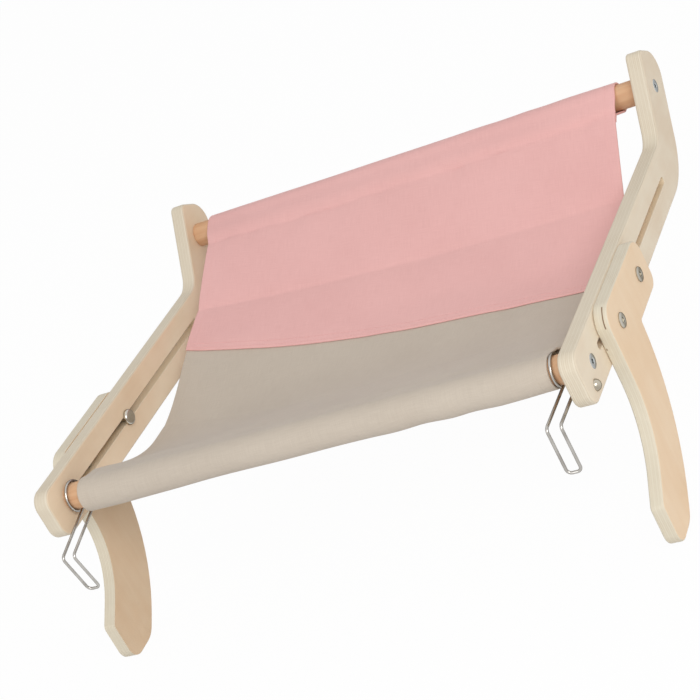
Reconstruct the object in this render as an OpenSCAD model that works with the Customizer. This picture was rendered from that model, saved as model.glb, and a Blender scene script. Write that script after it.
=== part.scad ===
// Cat hammock: two bent plywood arms joined by two dowels that carry a cloth seat.
// Each arm has a long slot for a sliding leg, and two wire hooks swing on the lower dowel.
// X runs along the dowels, Y points away from the board that holds the hammock, Z is up.
// The origin is mid-width, where the arm ends meet the board's face, level with its top edge.

/* [Arms] */
// Width across the outer faces of the two arms
frame_w = 525; // [460:1:600]
// Thickness of an arm
arm_t = 15; // [12:0.5:20]
// Width of the band that an arm is cut as
arm_band_w = 48; // [42:0.5:60]
// Straight run of an arm from its square end to the bend
arm_run = 356.5; // [340:0.5:420]
// Inside radius of the bend
bend_in_r = 24; // [12:0.5:40]
// Angle that the outer end turns up
bend_angle = 54; // [45:1:65]
// Straight front edge of the turned-up end
end_run = 74.5; // [64:0.5:90]
// Fall of the cut across the top end
end_cut_angle = 26; // [5:1:35]
// Corner rounding at the square end
arm_corner_r = 14; // [4:0.5:18]
// Corner rounding at the back of the top end
end_back_r = 22; // [6:0.5:24]
// Corner rounding at the front of the top end
end_front_r = 7; // [1:0.5:9]

/* [Slot] */
// Width of the slot along an arm
slot_w = 6.6; // [6.4:0.1:9]
// Near end of the slot from the square end of the arm
slot_start = 54; // [48:0.5:70]
// Length of the slot from end to end
slot_l = 286; // [230:0.5:290]

/* [Dowels] */
// Diameter of both dowels
dowel_d = 24; // [20:0.5:30]
// Lower dowel's axis from the square end of an arm
lower_dowel_y = 34; // [28:0.5:42]
// Upper dowel's axis from the bend, along the turned-up end
upper_dowel_run = 44.5; // [30:0.5:52]

/* [Legs] */
// Thickness of a leg
leg_t = 12; // [9:0.5:18]
// Length of the leg's head along the arm
leg_head_l = 128; // [115:1:150]
// Height of the leg's head
leg_head_w = 48; // [40:0.5:60]
// Width of the stem where it leaves the head
leg_stem_w = 65.5; // [55:0.5:75]
// Overall height of a leg
leg_drop = 190; // [182:0.5:230]
// How far the toe comes forward of the stem
leg_reach = 54; // [45:0.5:62]
// Height from the head's top to the corner of the knee
knee_drop = 107; // [100:0.5:113]
// Width of the toe, square to its slope
toe_w = 55; // [48:0.5:60]
// Slope of the toe
toe_angle = 38; // [32:1:42]
// Lean of the stem's back edge
stem_lean = 4; // [0:0.5:8]
// Radius at the front of the knee
knee_front_r = 86; // [50:1:95]
// Radius at the back of the knee
knee_back_r = 175; // [100:1:180]
// Rounding at the head's front top corner
head_front_r = 18; // [4:0.5:20]
// Rounding at the head's back top corner
head_back_r = 18; // [4:0.5:24]
// Rounding at the head's back lower corner
head_heel_r = 11; // [3:0.5:14]
// Rounding in the corner between head and stem
crotch_r = 2; // [1:0.5:4]
// Rounding where the sole meets the toe's slope
sole_r = 25; // [10:0.5:30]
// Rounding at the front of the sole
toe_r = 14; // [6:0.5:18]
// Rounding at the top of the wall pad
pad_r = 6; // [2:0.5:12]
// Setting of the legs: guide bolt from the near end of the slot
leg_set = 31.7; // [3.5:0.1:160]
// Running gap between a leg and its arm
slide_gap = 0.2; // [0.1:0.05:0.5]

/* [Bolts] */
// Diameter of the clamp and guide bolts
bolt_d = 6; // [5:0.1:6]
// Diameter of a leg bolt's head
bolt_head_d = 13; // [10:0.5:16]
// Height of a leg bolt's head
bolt_head_h = 2; // [1.5:0.1:3]
// Width across the flats of a hexagon socket
socket_w = 4; // [3:0.5:4.5]
// Guide bolt from the front of the leg's head
guide_inset = 27; // [18:0.5:32]
// Clamp bolt from the back of the leg's head
clamp_inset = 28; // [18:0.5:32]
// How deep the guide bolt reaches into the slot
guide_depth = 8; // [6:0.5:14]
// Diameter of the clamp's cap nut
nut_d = 15; // [12:0.5:18]
// Height of the clamp's cap nut
nut_h = 4; // [3.5:0.1:6]
// Diameter of the dowel screws
screw_d = 6; // [5:0.1:7]
// Head diameter of the dowel screws
screw_head_d = 12.5; // [10:0.5:14]
// Length of the dowel screws
screw_l = 38; // [34:1:44]
// Diameter of the threaded inserts in the dowels
insert_d = 9; // [8:0.5:11]
// Length of the threaded inserts
insert_l = 20; // [14:1:24]

/* [End studs] */
// Diameter of the domed stud near the square end
stud_d = 10; // [8:0.5:11]
// Height of the stud's dome
stud_h = 4.5; // [2:0.25:5]
// Stud's axis from the square end of the arm
stud_y = 19.5; // [18:0.5:22]
// Stud's axis above the arm's lower edge
stud_rise = 11; // [9:0.1:11.5]
// Diameter of the stud's shank
stud_shank_d = 5; // [4:0.5:6]
// Length of the stud's shank
stud_shank_l = 10; // [6:0.5:11]

/* [Hooks] */
// Diameter of the hook wire
wire_d = 2.6; // [2:0.1:3]
// Reach of a hook from the dowel's axis to its down-turned end
hook_reach = 62.5; // [55:0.5:80]
// Length of the down-turned end
hook_drop = 41.5; // [28:0.5:50]
// Distance between a hook's two wires
hook_w = 12; // [10:0.5:16]
// Radius of the hook's right-angle bends
kink_r = 4; // [3:0.5:6]
// Radius of the bends at the hook's tip
tip_r = 4; // [3:0.5:4.5]
// Clearance between the eye and the dowel
eye_gap = 0.4; // [0.3:0.05:0.8]
// How far round the dowel the eye is bent
eye_turn = 320; // [280:10:320]
// Sideways step of the eye in one turn
eye_pitch = 1.2; // [0:0.1:2]
// Side play between a hook and its arm
hook_side_gap = 2.6; // [0.5:0.1:5]
// Angle that the left hook hangs below level
left_hook_droop = 12; // [0:1:30]
// Angle that the right hook hangs below level
right_hook_droop = 0; // [0:1:30]

/* [Seat cloth] */
// Thickness of the folded cloth
cloth_t = 1.8; // [1.2:0.1:2.4]
// Clearance between a pocket and its dowel
pocket_gap = 0.4; // [0.3:0.05:0.8]
// Side play between the cloth and a hook
cloth_hook_gap = 0.7; // [0.5:0.1:3]
// Fall of the seat where it leaves the lower dowel
seat_fall_angle = 20; // [10:1:30]
// Pull of that fall along the seat's left side
left_fall_run = 125; // [100:1:160]
// Pull of that fall along the seat's right side
right_fall_run = 150; // [100:1:180]
// Rise of the seat to the upper dowel at its left side
left_rise_angle = 26; // [20:1:40]
// Rise of the seat to the upper dowel at its right side
right_rise_angle = 44; // [26:1:48]
// Pull of that rise along the seat's left side
left_rise_run = 307; // [180:1:320]
// Pull of that rise along the seat's right side
right_rise_run = 182; // [120:1:240]
// Depth of the soft fold across the seat at its left side
left_fold_depth = 6; // [0:0.5:8]
// Depth of the soft fold across the seat at its right side
right_fold_depth = 2; // [0:0.5:8]
// Depth of a pocket from the dowel to its hem
pocket_l = 24; // [20:0.5:34]
// Width of the hem under the pocket's stitch line
hem_l = 8; // [5:0.5:12]
// Gap between the hem and the seat above it
hem_gap = 0.3; // [0.2:0.05:0.6]
// Place of the slanting seam at the left side, along the seat from the lower dowel
left_seam_share = 0.77; // [0.6:0.01:0.8]
// Place of the slanting seam at the right side, along the seat from the lower dowel
right_seam_share = 0.47; // [0.4:0.01:0.7]

/* [Hidden] */
$fn = 48;

// Colours
ply_face = [0.88, 0.80, 0.69];
ply_leg = [0.90, 0.80, 0.68];
dowel_wood = [0.76, 0.59, 0.43];
bright_steel = [0.75, 0.75, 0.73];
pink_cloth = [0.90, 0.70, 0.69];
beige_cloth = [0.77, 0.73, 0.67];

// Fits and steps
cut_over = 1;
thread_fit = 0.08;
bolt_fit = 0.2;
arc_step = 4;
socket_depth_share = 0.55;
bevel_share = 0.4;
wire_sides = 10;
wire_step = 10;
bend_steps = 5;
wrap_steps = 14;
low_steps = 14;
mid_steps = 5;
high_steps = 7;
cloth_stations = 11;
left_fold_share = 0.86;
right_fold_share = 0.76;
fold_spread_share = 0.11;
nut_bore_share = 0.7;

// Levels and places shared by the pieces
arm_face_x = frame_w / 2;
arm_inner_x = arm_face_x - arm_t;
leg_face_x = arm_face_x + slide_gap + leg_t;
eye_r = dowel_d / 2 + eye_gap + wire_d / 2;
arm_mid_z = eye_r + wire_d / 2;
arm_low_z = arm_mid_z - arm_band_w / 2;
arm_top_z = arm_mid_z + arm_band_w / 2;

// The bend and the turned-up end
bend_out_r = bend_in_r + arm_band_w;
bend_mid_r = bend_in_r + arm_band_w / 2;
end_dir = [cos(bend_angle), sin(bend_angle)];
cut_dir = [cos(end_cut_angle), -sin(end_cut_angle)];
front_bend = [arm_run + bend_in_r * tan(bend_angle / 2), arm_top_z];
back_bend = [arm_run + bend_out_r * tan(bend_angle / 2), arm_low_z];
front_tip = front_bend + end_dir * (bend_in_r * tan(bend_angle / 2) + end_run);
back_tip = meet(back_bend, end_dir, front_tip, cut_dir);
bend_exit = [arm_run + bend_mid_r * sin(bend_angle), arm_mid_z + bend_mid_r * (1 - cos(bend_angle))];
lower_axis = [lower_dowel_y, arm_mid_z];
upper_axis = bend_exit + end_dir * upper_dowel_run;
arm_outline = rounded([[[0, arm_low_z], arm_corner_r], [back_bend, bend_out_r], [back_tip, end_back_r],
                       [front_tip, end_front_r], [front_bend, bend_in_r], [[0, arm_top_z], arm_corner_r]]);

// The leg, placed by its guide bolt in the slot
guide_y = slot_start + slot_w / 2 + leg_set;
leg_front_y = guide_y - guide_inset;
leg_back_y = leg_front_y + leg_head_l;
clamp_y = leg_back_y - clamp_inset;
leg_top_z = arm_mid_z + leg_head_w / 2;
leg_head_z = leg_top_z - leg_head_w;
sole_z = leg_top_z - leg_drop;
pad_y = leg_front_y - leg_reach;
toe_dir = [cos(toe_angle), sin(toe_angle)];
crotch = [leg_front_y + leg_stem_w, leg_head_z];
knee_front = [leg_front_y, leg_top_z - knee_drop];
sole_line = knee_front + toe_w * [sin(toe_angle), -cos(toe_angle)];
knee_back = meet(crotch, [sin(stem_lean), cos(stem_lean)], sole_line, toe_dir);
sole_back = meet(sole_line, toe_dir, [0, sole_z], [1, 0]);
pad_top = meet(knee_front, toe_dir, [pad_y, 0], [0, 1]);
leg_outline = rounded([[[leg_front_y, leg_top_z], head_front_r], [knee_front, knee_front_r],
                       [pad_top, pad_r], [[pad_y, sole_z], toe_r], [sole_back, sole_r],
                       [knee_back, knee_back_r], [crotch, crotch_r], [[leg_back_y, leg_head_z], head_heel_r],
                       [[leg_back_y, leg_top_z], head_back_r]]);

// The hooks, each beside its arm by its outer wire
left_hook_x = -arm_inner_x + hook_side_gap + wire_d / 2;
right_hook_x = arm_inner_x - hook_side_gap - wire_d / 2 - hook_w;

// The seat cloth between the two hooks
cloth_half_w = arm_inner_x - hook_side_gap - hook_w - wire_d - cloth_hook_gap;
wrap_r = dowel_d / 2 + pocket_gap + cloth_t / 2;
hem_drop = cloth_t + hem_gap;
seam_index = 2 + wrap_steps + low_steps;
section_end = 2 * wrap_steps + low_steps + mid_steps + high_steps + 4;

// Screws, nuts and studs
screw_head_h = (screw_head_d - screw_d) / 2;
screw_hole_d = screw_d + 2 * bolt_fit;
screw_head_hole_d = screw_head_d + 2 * bolt_fit;
stud_place = [stud_y, arm_low_z + stud_rise];
nut_bore = nut_h * nut_bore_share;
clamp_end_x = arm_inner_x - slide_gap - nut_bore + thread_fit;
guide_end_x = arm_face_x - guide_depth;

function unit(v) = v / norm(v);

// Point where the line through p along u crosses the line through q along v
function meet(p, u, q, v) = p + u * cross(q - p, v) / cross(u, v);

// Length that a corner of radius r takes from each of its edges
function corner_run(a, p, b, r) = r / tan(acos(unit(a - p) * unit(b - p)) / 2);

// Arc of radius r in the corner at p between its neighbours a and b
function corner_arc(a, p, b, r) =
    let (u = unit(a - p), v = unit(b - p),
         half = acos(u * v) / 2,
         mid = p + unit(u + v) * (r / sin(half)),
         first = p + u * (r / tan(half)) - mid,
         last = p + v * (r / tan(half)) - mid,
         start = atan2(first[1], first[0]),
         sweep = atan2(cross(first, last), first * last),
         n = max(1, ceil(abs(sweep) / arc_step)))
    [for (k = [0 : n]) mid + r * [cos(start + sweep * k / n), sin(start + sweep * k / n)]];

// Outline with every corner [point, radius] rounded, as far as the edges between them have room
function rounded(corners) =
    let (n = len(corners),
         p = [for (c = corners) c[0]],
         run = [for (i = [0 : n - 1]) corner_run(p[(i + n - 1) % n], p[i], p[(i + 1) % n], corners[i][1])],
         room = [for (i = [0 : n - 1]) min(1, norm(p[(i + 1) % n] - p[i]) / (run[i] + run[(i + 1) % n]))])
    [for (i = [0 : n - 1])
        let (r = corners[i][1] * min(room[i], room[(i + n - 1) % n]))
        each corner_arc(p[(i + n - 1) % n], p[i], p[(i + 1) % n], r)];

// A normal carried along a path's tangents without twist
function carried(dirs, n, i = 0) =
    i == len(dirs) ? [] :
    let (m = unit(n - (n * dirs[i]) * dirs[i]))
    concat([m], carried(dirs, m, i + 1));

// Direction of a path at point i
function path_dir(p, i) = unit(p[min(i + 1, len(p) - 1)] - p[max(i - 1, 0)]);

// Wire of a hook from its eye's free end to its open half eye, dowel axis at the origin
hook_bend_y = hook_reach - kink_r;
hook_tip_z = eye_r + hook_drop - tip_r;
function quarter(k) = 90 * k / bend_steps;
function hook_kink(x, a) = [x, -hook_bend_y - kink_r * sin(a), -eye_r - kink_r + kink_r * cos(a)];
function hook_tip(x, a) = [x, -hook_reach, -hook_tip_z - tip_r * sin(a)];
hook_path = concat(
    [for (a = [eye_turn : -wire_step : 0]) [eye_pitch * a / 360, eye_r * sin(a), -eye_r * cos(a)]],
    [for (k = [0 : bend_steps]) hook_kink(0, quarter(k))],
    [for (k = [0 : bend_steps]) hook_tip(tip_r - tip_r * cos(quarter(k)), quarter(k))],
    [for (k = [0 : bend_steps]) hook_tip(hook_w - tip_r + tip_r * sin(quarter(k)), 90 - quarter(k))],
    [for (k = [0 : bend_steps]) hook_kink(hook_w, 90 - quarter(k))],
    [for (a = [0 : wire_step : 90]) [hook_w, eye_r * sin(a), -eye_r * cos(a)]]);

// Seat cloth in section, from the left side (side 0) to the right (side 1)
function mix(a, b, side) = a + (b - a) * side;
function on_dowel(axis, angle) = axis + wrap_r * [cos(angle), sin(angle)];
function bent(p, k) =
    pow(1 - k, 3) * p[0] + 3 * pow(1 - k, 2) * k * p[1] + 3 * (1 - k) * pow(k, 2) * p[2] + pow(k, 3) * p[3];
function bent_dir(p, k) =
    unit(pow(1 - k, 2) * (p[1] - p[0]) + 2 * (1 - k) * k * (p[2] - p[1]) + pow(k, 2) * (p[3] - p[2]));

// The four points that bend the seat between its dowels
function seat_bend(side) =
    let (rise = mix(left_rise_angle, right_rise_angle, side),
         a = on_dowel(lower_axis, 90 - seat_fall_angle),
         b = on_dowel(upper_axis, 90 + rise))
    [a, a + mix(left_fall_run, right_fall_run, side) * [cos(seat_fall_angle), -sin(seat_fall_angle)],
     b - mix(left_rise_run, right_rise_run, side) * [cos(rise), sin(rise)], b];

// The seat's middle surface with its soft fold, and a point under it
function seat_point(p, side, k) =
    let (off = abs(k - mix(left_fold_share, right_fold_share, side)) / fold_spread_share)
    bent(p, k) - [0, mix(left_fold_depth, right_fold_depth, side) * pow(max(0, 1 - off), 2)];
function seat_under(p, k) = bent(p, k) + hem_drop * [bent_dir(p, k)[1], -bent_dir(p, k)[0]];

// Hem, wrap of the lower dowel, seat, wrap of the upper dowel, hem
function seat_section(side) =
    let (p = seat_bend(side),
         seam = mix(left_seam_share, right_seam_share, side),
         fold = mix(left_fold_share, right_fold_share, side),
         low_pace = 3 * norm(p[1] - p[0]),
         high_pace = 3 * norm(p[3] - p[2]),
         low_hem = seat_under(p, pocket_l / low_pace),
         high_hem = seat_under(p, 1 - pocket_l / high_pace),
         low_to = low_hem - lower_axis,
         high_to = high_hem - upper_axis,
         low_leave = atan2(low_to[1], low_to[0]) - acos(wrap_r / norm(low_to)) + 360,
         high_leave = atan2(high_to[1], high_to[0]) + acos(wrap_r / norm(high_to)),
         low_top = 90 - seat_fall_angle,
         high_top = 90 + mix(left_rise_angle, right_rise_angle, side))
    concat(
        [seat_under(p, (pocket_l + hem_l) / low_pace), low_hem],
        [for (k = [0 : wrap_steps - 1]) on_dowel(lower_axis, mix(low_leave, low_top, k / wrap_steps))],
        [for (k = [0 : low_steps]) seat_point(p, side, seam * k / low_steps)],
        [for (k = [1 : mid_steps]) seat_point(p, side, mix(seam, fold, k / mid_steps))],
        [for (k = [1 : high_steps]) seat_point(p, side, mix(fold, 1, k / high_steps))],
        [for (k = [1 : wrap_steps]) on_dowel(upper_axis, mix(high_top, high_leave, k / wrap_steps))],
        [high_hem, seat_under(p, 1 - (pocket_l + hem_l) / high_pace)]);

// Board cut to an outline, its thickness along X from x
module board(outline, x, t) {
    translate([x, 0, 0]) rotate([90, 0, 90]) linear_extrude(t) polygon(outline);
}

// Round rod along X from x0 to x1 at [y, z]
module rod(x0, x1, place, d) {
    translate([x0, place[0], place[1]]) rotate([0, 90, 0]) cylinder(h = x1 - x0, d = d);
}

// Cone along X from x0 to x1 at [y, z]
module cone(x0, x1, place, d0, d1) {
    translate([x0, place[0], place[1]]) rotate([0, 90, 0]) cylinder(h = x1 - x0, d1 = d0, d2 = d1);
}

// Six-sided socket sunk into a face at x, reaching inwards
module socket(x, place, depth) {
    translate([x - depth, place[0], place[1]])
        rotate([0, 90, 0]) cylinder(h = depth + cut_over, d = socket_w / cos(30), $fn = 6);
}

module left() {
    mirror([1, 0, 0]) children();
}

// Tube of round section along a path of points
module wire(path, d) {
    n = len(path);
    dirs = [for (i = [0 : n - 1]) path_dir(path, i)];
    sides = carried(dirs, [1, 0, 0]);
    ring = [for (i = [0 : n - 1]) for (k = [0 : wire_sides - 1])
        let (a = 360 * k / wire_sides)
        path[i] + d / 2 * (cos(a) * sides[i] + sin(a) * cross(dirs[i], sides[i]))];
    walls = [for (i = [0 : n - 2]) for (k = [0 : wire_sides - 1])
        let (p = i * wire_sides + k, q = i * wire_sides + (k + 1) % wire_sides)
        each [[p, p + wire_sides, q], [q, p + wire_sides, q + wire_sides]]];
    last = (n - 1) * wire_sides;
    ends = [for (k = [1 : wire_sides - 2]) each [[0, k, k + 1], [last, last + k + 1, last + k]]];
    polyhedron(ring, concat(walls, ends));
}

// Sheet of the seat between two indices of its section, lofted across the width
module seat_sheet(first, last) {
    n = last - first + 1;
    points = [for (j = [0 : cloth_stations - 1])
        let (side = j / (cloth_stations - 1),
             x = mix(-cloth_half_w, cloth_half_w, side),
             s = seat_section(side))
        for (i = [first : last])
            let (d = path_dir(s, i), m = [-d[1], d[0]] * cloth_t / 2)
            each [[x, s[i][0] + m[0], s[i][1] + m[1]], [x, s[i][0] - m[0], s[i][1] - m[1]]]];
    row = 2 * n;
    skins = [for (j = [0 : cloth_stations - 2]) for (i = [0 : n - 2])
        let (p = j * row + 2 * i)
        each [[p, p + 2, p + row], [p + 2, p + row + 2, p + row],
              [p + 1, p + row + 1, p + 3], [p + 3, p + row + 1, p + row + 3]]];
    hems = [for (j = [0 : cloth_stations - 2])
        let (p = j * row, q = j * row + 2 * (n - 1))
        each [[p, p + row, p + 1], [p + 1, p + row, p + row + 1],
              [q, q + 1, q + row], [q + 1, q + row + 1, q + row]]];
    sides = [for (i = [0 : n - 2])
        let (p = 2 * i, q = (cloth_stations - 1) * row + 2 * i)
        each [[p, p + 1, p + 2], [p + 1, p + 3, p + 2], [q, q + 2, q + 1], [q + 1, q + 2, q + 3]]];
    polyhedron(points, concat(skins, hems, sides));
}

// Right arm with its slot, countersunk screw holes and stud hole
module arm() {
    color(ply_face) difference() {
        board(arm_outline, arm_inner_x, arm_t);
        translate([arm_inner_x - cut_over, slot_start + slot_w / 2, arm_mid_z - slot_w / 2])
            cube([arm_t + 2 * cut_over, slot_l - slot_w, slot_w]);
        for (y = [slot_start + slot_w / 2, slot_start + slot_l - slot_w / 2])
            rod(arm_inner_x - cut_over, arm_face_x + cut_over, [y, arm_mid_z], slot_w);
        for (axis = [lower_axis, upper_axis]) {
            rod(arm_inner_x - cut_over, arm_face_x, axis, screw_hole_d);
            cone(arm_face_x - screw_head_h, arm_face_x, axis, screw_hole_d, screw_head_hole_d);
            rod(arm_face_x, arm_face_x + cut_over, axis, screw_head_hole_d);
        }
        rod(arm_face_x - stud_shank_l - thread_fit, arm_face_x + cut_over, stud_place,
            stud_shank_d + 2 * thread_fit);
    }
}

// Right leg with its two bolt holes
module leg() {
    color(ply_leg) difference() {
        board(leg_outline, arm_face_x + slide_gap, leg_t);
        rod(arm_face_x, leg_face_x + cut_over, [clamp_y, arm_mid_z], bolt_d + 2 * bolt_fit);
        rod(arm_face_x, leg_face_x + cut_over, [guide_y, arm_mid_z], bolt_d + 2 * thread_fit);
    }
}

// Dowel between the arms, bored at both ends for an insert and the screw's tip
module dowel(axis) {
    color(dowel_wood) difference() {
        rod(-arm_inner_x, arm_inner_x, axis, dowel_d);
        for (side = [0, 1]) mirror([side, 0, 0]) {
            rod(arm_inner_x - insert_l, arm_inner_x + cut_over, axis, insert_d + 2 * thread_fit);
            rod(arm_face_x - screw_l - cut_over, arm_inner_x, axis, screw_hole_d);
        }
    }
}

// Countersunk socket screw through the right arm into a dowel
module dowel_screw(axis) {
    color(bright_steel) difference() {
        union() {
            rod(arm_face_x - screw_l, arm_face_x - screw_head_h, axis, screw_d);
            cone(arm_face_x - screw_head_h, arm_face_x, axis, screw_d, screw_head_d);
        }
        socket(arm_face_x, axis, screw_head_h * socket_depth_share);
    }
}

// Threaded insert in the right end of a dowel
module insert(axis) {
    color(bright_steel) difference() {
        rod(arm_inner_x - insert_l, arm_inner_x, axis, insert_d);
        rod(arm_inner_x - insert_l - cut_over, arm_inner_x + cut_over, axis, screw_d + 2 * thread_fit);
    }
}

// Bolt with a low bevelled head on the right leg's outer face, its shank ending at x
module leg_bolt(y, x) {
    place = [y, arm_mid_z];
    bevel = bolt_head_h * bevel_share;
    color(bright_steel) difference() {
        union() {
            rod(x, leg_face_x, place, bolt_d);
            rod(leg_face_x, leg_face_x + bolt_head_h - bevel, place, bolt_head_d);
            cone(leg_face_x + bolt_head_h - bevel, leg_face_x + bolt_head_h, place,
                 bolt_head_d, bolt_head_d - 2 * bevel);
        }
        socket(leg_face_x + bolt_head_h, place, bolt_head_h * socket_depth_share);
    }
}

// Round cap nut on the right arm's inner face, blind bored for the clamp bolt
module clamp_nut() {
    place = [clamp_y, arm_mid_z];
    bevel = nut_h * bevel_share;
    seat_x = arm_inner_x - slide_gap;
    color(bright_steel) difference() {
        union() {
            cone(seat_x - nut_h, seat_x - nut_h + bevel, place, nut_d - 2 * bevel, nut_d);
            rod(seat_x - nut_h + bevel, seat_x, place, nut_d);
        }
        rod(seat_x - nut_bore, seat_x + cut_over, place, bolt_d + 2 * thread_fit);
    }
}

// Domed stud in the right arm's outer face
module end_stud() {
    dome_r = (pow(stud_d / 2, 2) + pow(stud_h, 2)) / (2 * stud_h);
    color(bright_steel) union() {
        rod(arm_face_x - stud_shank_l, arm_face_x, stud_place, stud_shank_d);
        translate([arm_face_x, stud_place[0], stud_place[1]]) rotate([0, 90, 0]) rotate_extrude()
            intersection() {
                translate([0, stud_h - dome_r]) circle(dome_r);
                square([stud_d / 2, stud_h]);
            }
    }
}

// Wire hook with its first wire at x, hanging at an angle below level
module hook(x, droop) {
    color(bright_steel) translate([x, lower_axis[0], lower_axis[1]])
        rotate([droop, 0, 0]) wire(hook_path, wire_d);
}

module left_arm() { left() arm(); }
module right_arm() { arm(); }
module left_leg() { left() leg(); }
module right_leg() { leg(); }
module lower_dowel() { dowel(lower_axis); }
module upper_dowel() { dowel(upper_axis); }
module left_lower_screw() { left() dowel_screw(lower_axis); }
module right_lower_screw() { dowel_screw(lower_axis); }
module left_upper_screw() { left() dowel_screw(upper_axis); }
module right_upper_screw() { dowel_screw(upper_axis); }
module left_lower_insert() { left() insert(lower_axis); }
module right_lower_insert() { insert(lower_axis); }
module left_upper_insert() { left() insert(upper_axis); }
module right_upper_insert() { insert(upper_axis); }
module left_clamp_bolt() { left() leg_bolt(clamp_y, clamp_end_x); }
module right_clamp_bolt() { leg_bolt(clamp_y, clamp_end_x); }
module left_clamp_nut() { left() clamp_nut(); }
module right_clamp_nut() { clamp_nut(); }
module left_guide_bolt() { left() leg_bolt(guide_y, guide_end_x); }
module right_guide_bolt() { leg_bolt(guide_y, guide_end_x); }
module left_end_stud() { left() end_stud(); }
module right_end_stud() { end_stud(); }
module left_hook() { hook(left_hook_x, left_hook_droop); }
module right_hook() { hook(right_hook_x, right_hook_droop); }
module seat_lower_cloth() { color(beige_cloth) seat_sheet(0, seam_index); }
module seat_upper_cloth() { color(pink_cloth) seat_sheet(seam_index, section_end); }

left_arm();
right_arm();
left_leg();
right_leg();
lower_dowel();
upper_dowel();
left_lower_screw();
right_lower_screw();
left_upper_screw();
right_upper_screw();
left_lower_insert();
right_lower_insert();
left_upper_insert();
right_upper_insert();
left_clamp_bolt();
right_clamp_bolt();
left_clamp_nut();
right_clamp_nut();
left_guide_bolt();
right_guide_bolt();
left_end_stud();
right_end_stud();
left_hook();
right_hook();
seat_lower_cloth();
seat_upper_cloth();
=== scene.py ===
import math

import bmesh
import bpy
import numpy as np
from bpy.props import FloatProperty, FloatVectorProperty, IntProperty, PointerProperty
from mathutils import Matrix, Vector, noise


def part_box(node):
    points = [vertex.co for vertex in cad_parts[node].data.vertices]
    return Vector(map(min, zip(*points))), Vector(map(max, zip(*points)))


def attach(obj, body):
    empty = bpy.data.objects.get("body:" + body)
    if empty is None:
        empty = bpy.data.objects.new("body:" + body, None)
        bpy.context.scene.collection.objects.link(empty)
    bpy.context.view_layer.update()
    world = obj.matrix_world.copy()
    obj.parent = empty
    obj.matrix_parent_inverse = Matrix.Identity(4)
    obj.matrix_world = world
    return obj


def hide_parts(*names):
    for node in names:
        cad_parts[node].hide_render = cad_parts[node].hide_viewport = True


bl_info = {
    "name": "Cat hammock",
    "version": (1, 0, 0),
    "blender": (4, 5, 0),
    "location": "3D View > Sidebar > Hammock",
    "description": "Dresses a hook-on cat hammock with wood, metal and sewn cloth",
    "category": "Object",
}

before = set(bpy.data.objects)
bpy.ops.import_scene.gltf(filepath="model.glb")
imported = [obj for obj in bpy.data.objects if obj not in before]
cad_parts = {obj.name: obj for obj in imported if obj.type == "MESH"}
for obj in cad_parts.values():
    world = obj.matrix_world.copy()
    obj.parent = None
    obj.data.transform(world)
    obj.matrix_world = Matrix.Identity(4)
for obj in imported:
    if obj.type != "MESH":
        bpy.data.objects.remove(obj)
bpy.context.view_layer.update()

MM = 0.001


def centre(node):
    """Middle of a CAD node's box."""
    low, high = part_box(node)
    return (low + high) / 2


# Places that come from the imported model
ARM_FACE_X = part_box("right_arm")[1].x
ARM_INNER_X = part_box("right_arm")[0].x
LEG_FACE_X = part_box("right_leg")[1].x
SOLE_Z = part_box("right_leg")[0].z
LOWER_AXIS = centre("lower_dowel").yz
UPPER_AXIS = centre("upper_dowel").yz
DOWEL_R = (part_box("lower_dowel")[1].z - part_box("lower_dowel")[0].z) / 2
CLOTH_HALF_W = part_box("seat_lower_cloth")[1].x
SIDES = (("left", -1), ("right", 1))

# Boards
SLOT_START = 52 * MM  # box round an arm's slot, which lies in line with the lower dowel
SLOT_END = 342 * MM
SLOT_REACH = 3.6 * MM
NO_SLITS = -1.0  # a slit top that no board reaches
SLIT_BAND = 32 * MM  # height of the band that has open slits
SLIT_PHASE = 14 * MM  # where in its noise that band lies
# Painted shade inside the open slits of the plies
SLIT_SHADE_COLOUR = (0.20, 0.115, 0.06, 1)
SHARP = 0.6  # edges that turn by more radians than this stay sharp

# Fasteners and hooks
SHANK_R = 3 * MM
HOOK_PLAY = 0.4 * MM  # room of an eye on its dowel
EYE_STEPS = 70
BEND_STEPS = 14
WIRE_SIDES = 16
WIRE_ENDS = ((0.0, 0.45), (0.25 * MM, 0.78), (0.6 * MM, 0.95))  # distance, share of the girth

# Cloth
HELD_RUN = 22 * MM  # cloth beside a dowel, which ripples less and less
LEFT_PULL = 1.3  # the left edge is drawn in more than the right one
SLACK_ONSET = 1.495  # a sleeve hangs fully slack over the lower third of its wrap
HEM_AIR = 0.3 * MM  # between a sleeve's hem and the cloth above it
SEAM_AIR = 0.2 * MM  # between the two panels at the seam
SEAM_RUN = 30 * MM  # over which a panel steps up or down to the seam
THIN_RIM = 0.08 * MM
SIDE_STITCH = 2 * MM  # side stitching, from the hem's inner edge
SEAM_STITCHES = (3 * MM, 8.5 * MM)  # the two rows along the seam, from its edge
SEWN_INSET = 0.004  # share of the width at which rows across the seat start and end

# Rows and columns of the cloth's mesh, close together at cut ends and hems
END_STEPS = (0.0, 0.12 * MM, 0.4 * MM, 0.9 * MM)
HEM_STEPS = (2 * MM, 3.5 * MM, 5 * MM, 6.5 * MM)
SIDE_STEPS = (2 * MM, 4 * MM, 6.5 * MM, 8.5 * MM, 9.5 * MM, 10.5 * MM, 12.5 * MM, 14.5 * MM)
UNDER_ROWS = 8
WRAP_ROWS = 40
SEAT_ROWS = 84
SEAT_COLUMNS = 124
SEWN_STEPS = 150


def linear(red, green, blue):
    """Scene-linear colour of a screen colour given in steps from 0 to 255."""
    def one(value):
        value /= 255
        return value / 12.92 if value <= 0.04045 else ((value + 0.055) / 1.055) ** 2.4
    return (one(red), one(green), one(blue))


def length_prop(name, description, default):
    return FloatProperty(name=name, description=description, default=default, min=0.0,
                         max=0.5, unit="LENGTH", precision=4)


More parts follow.
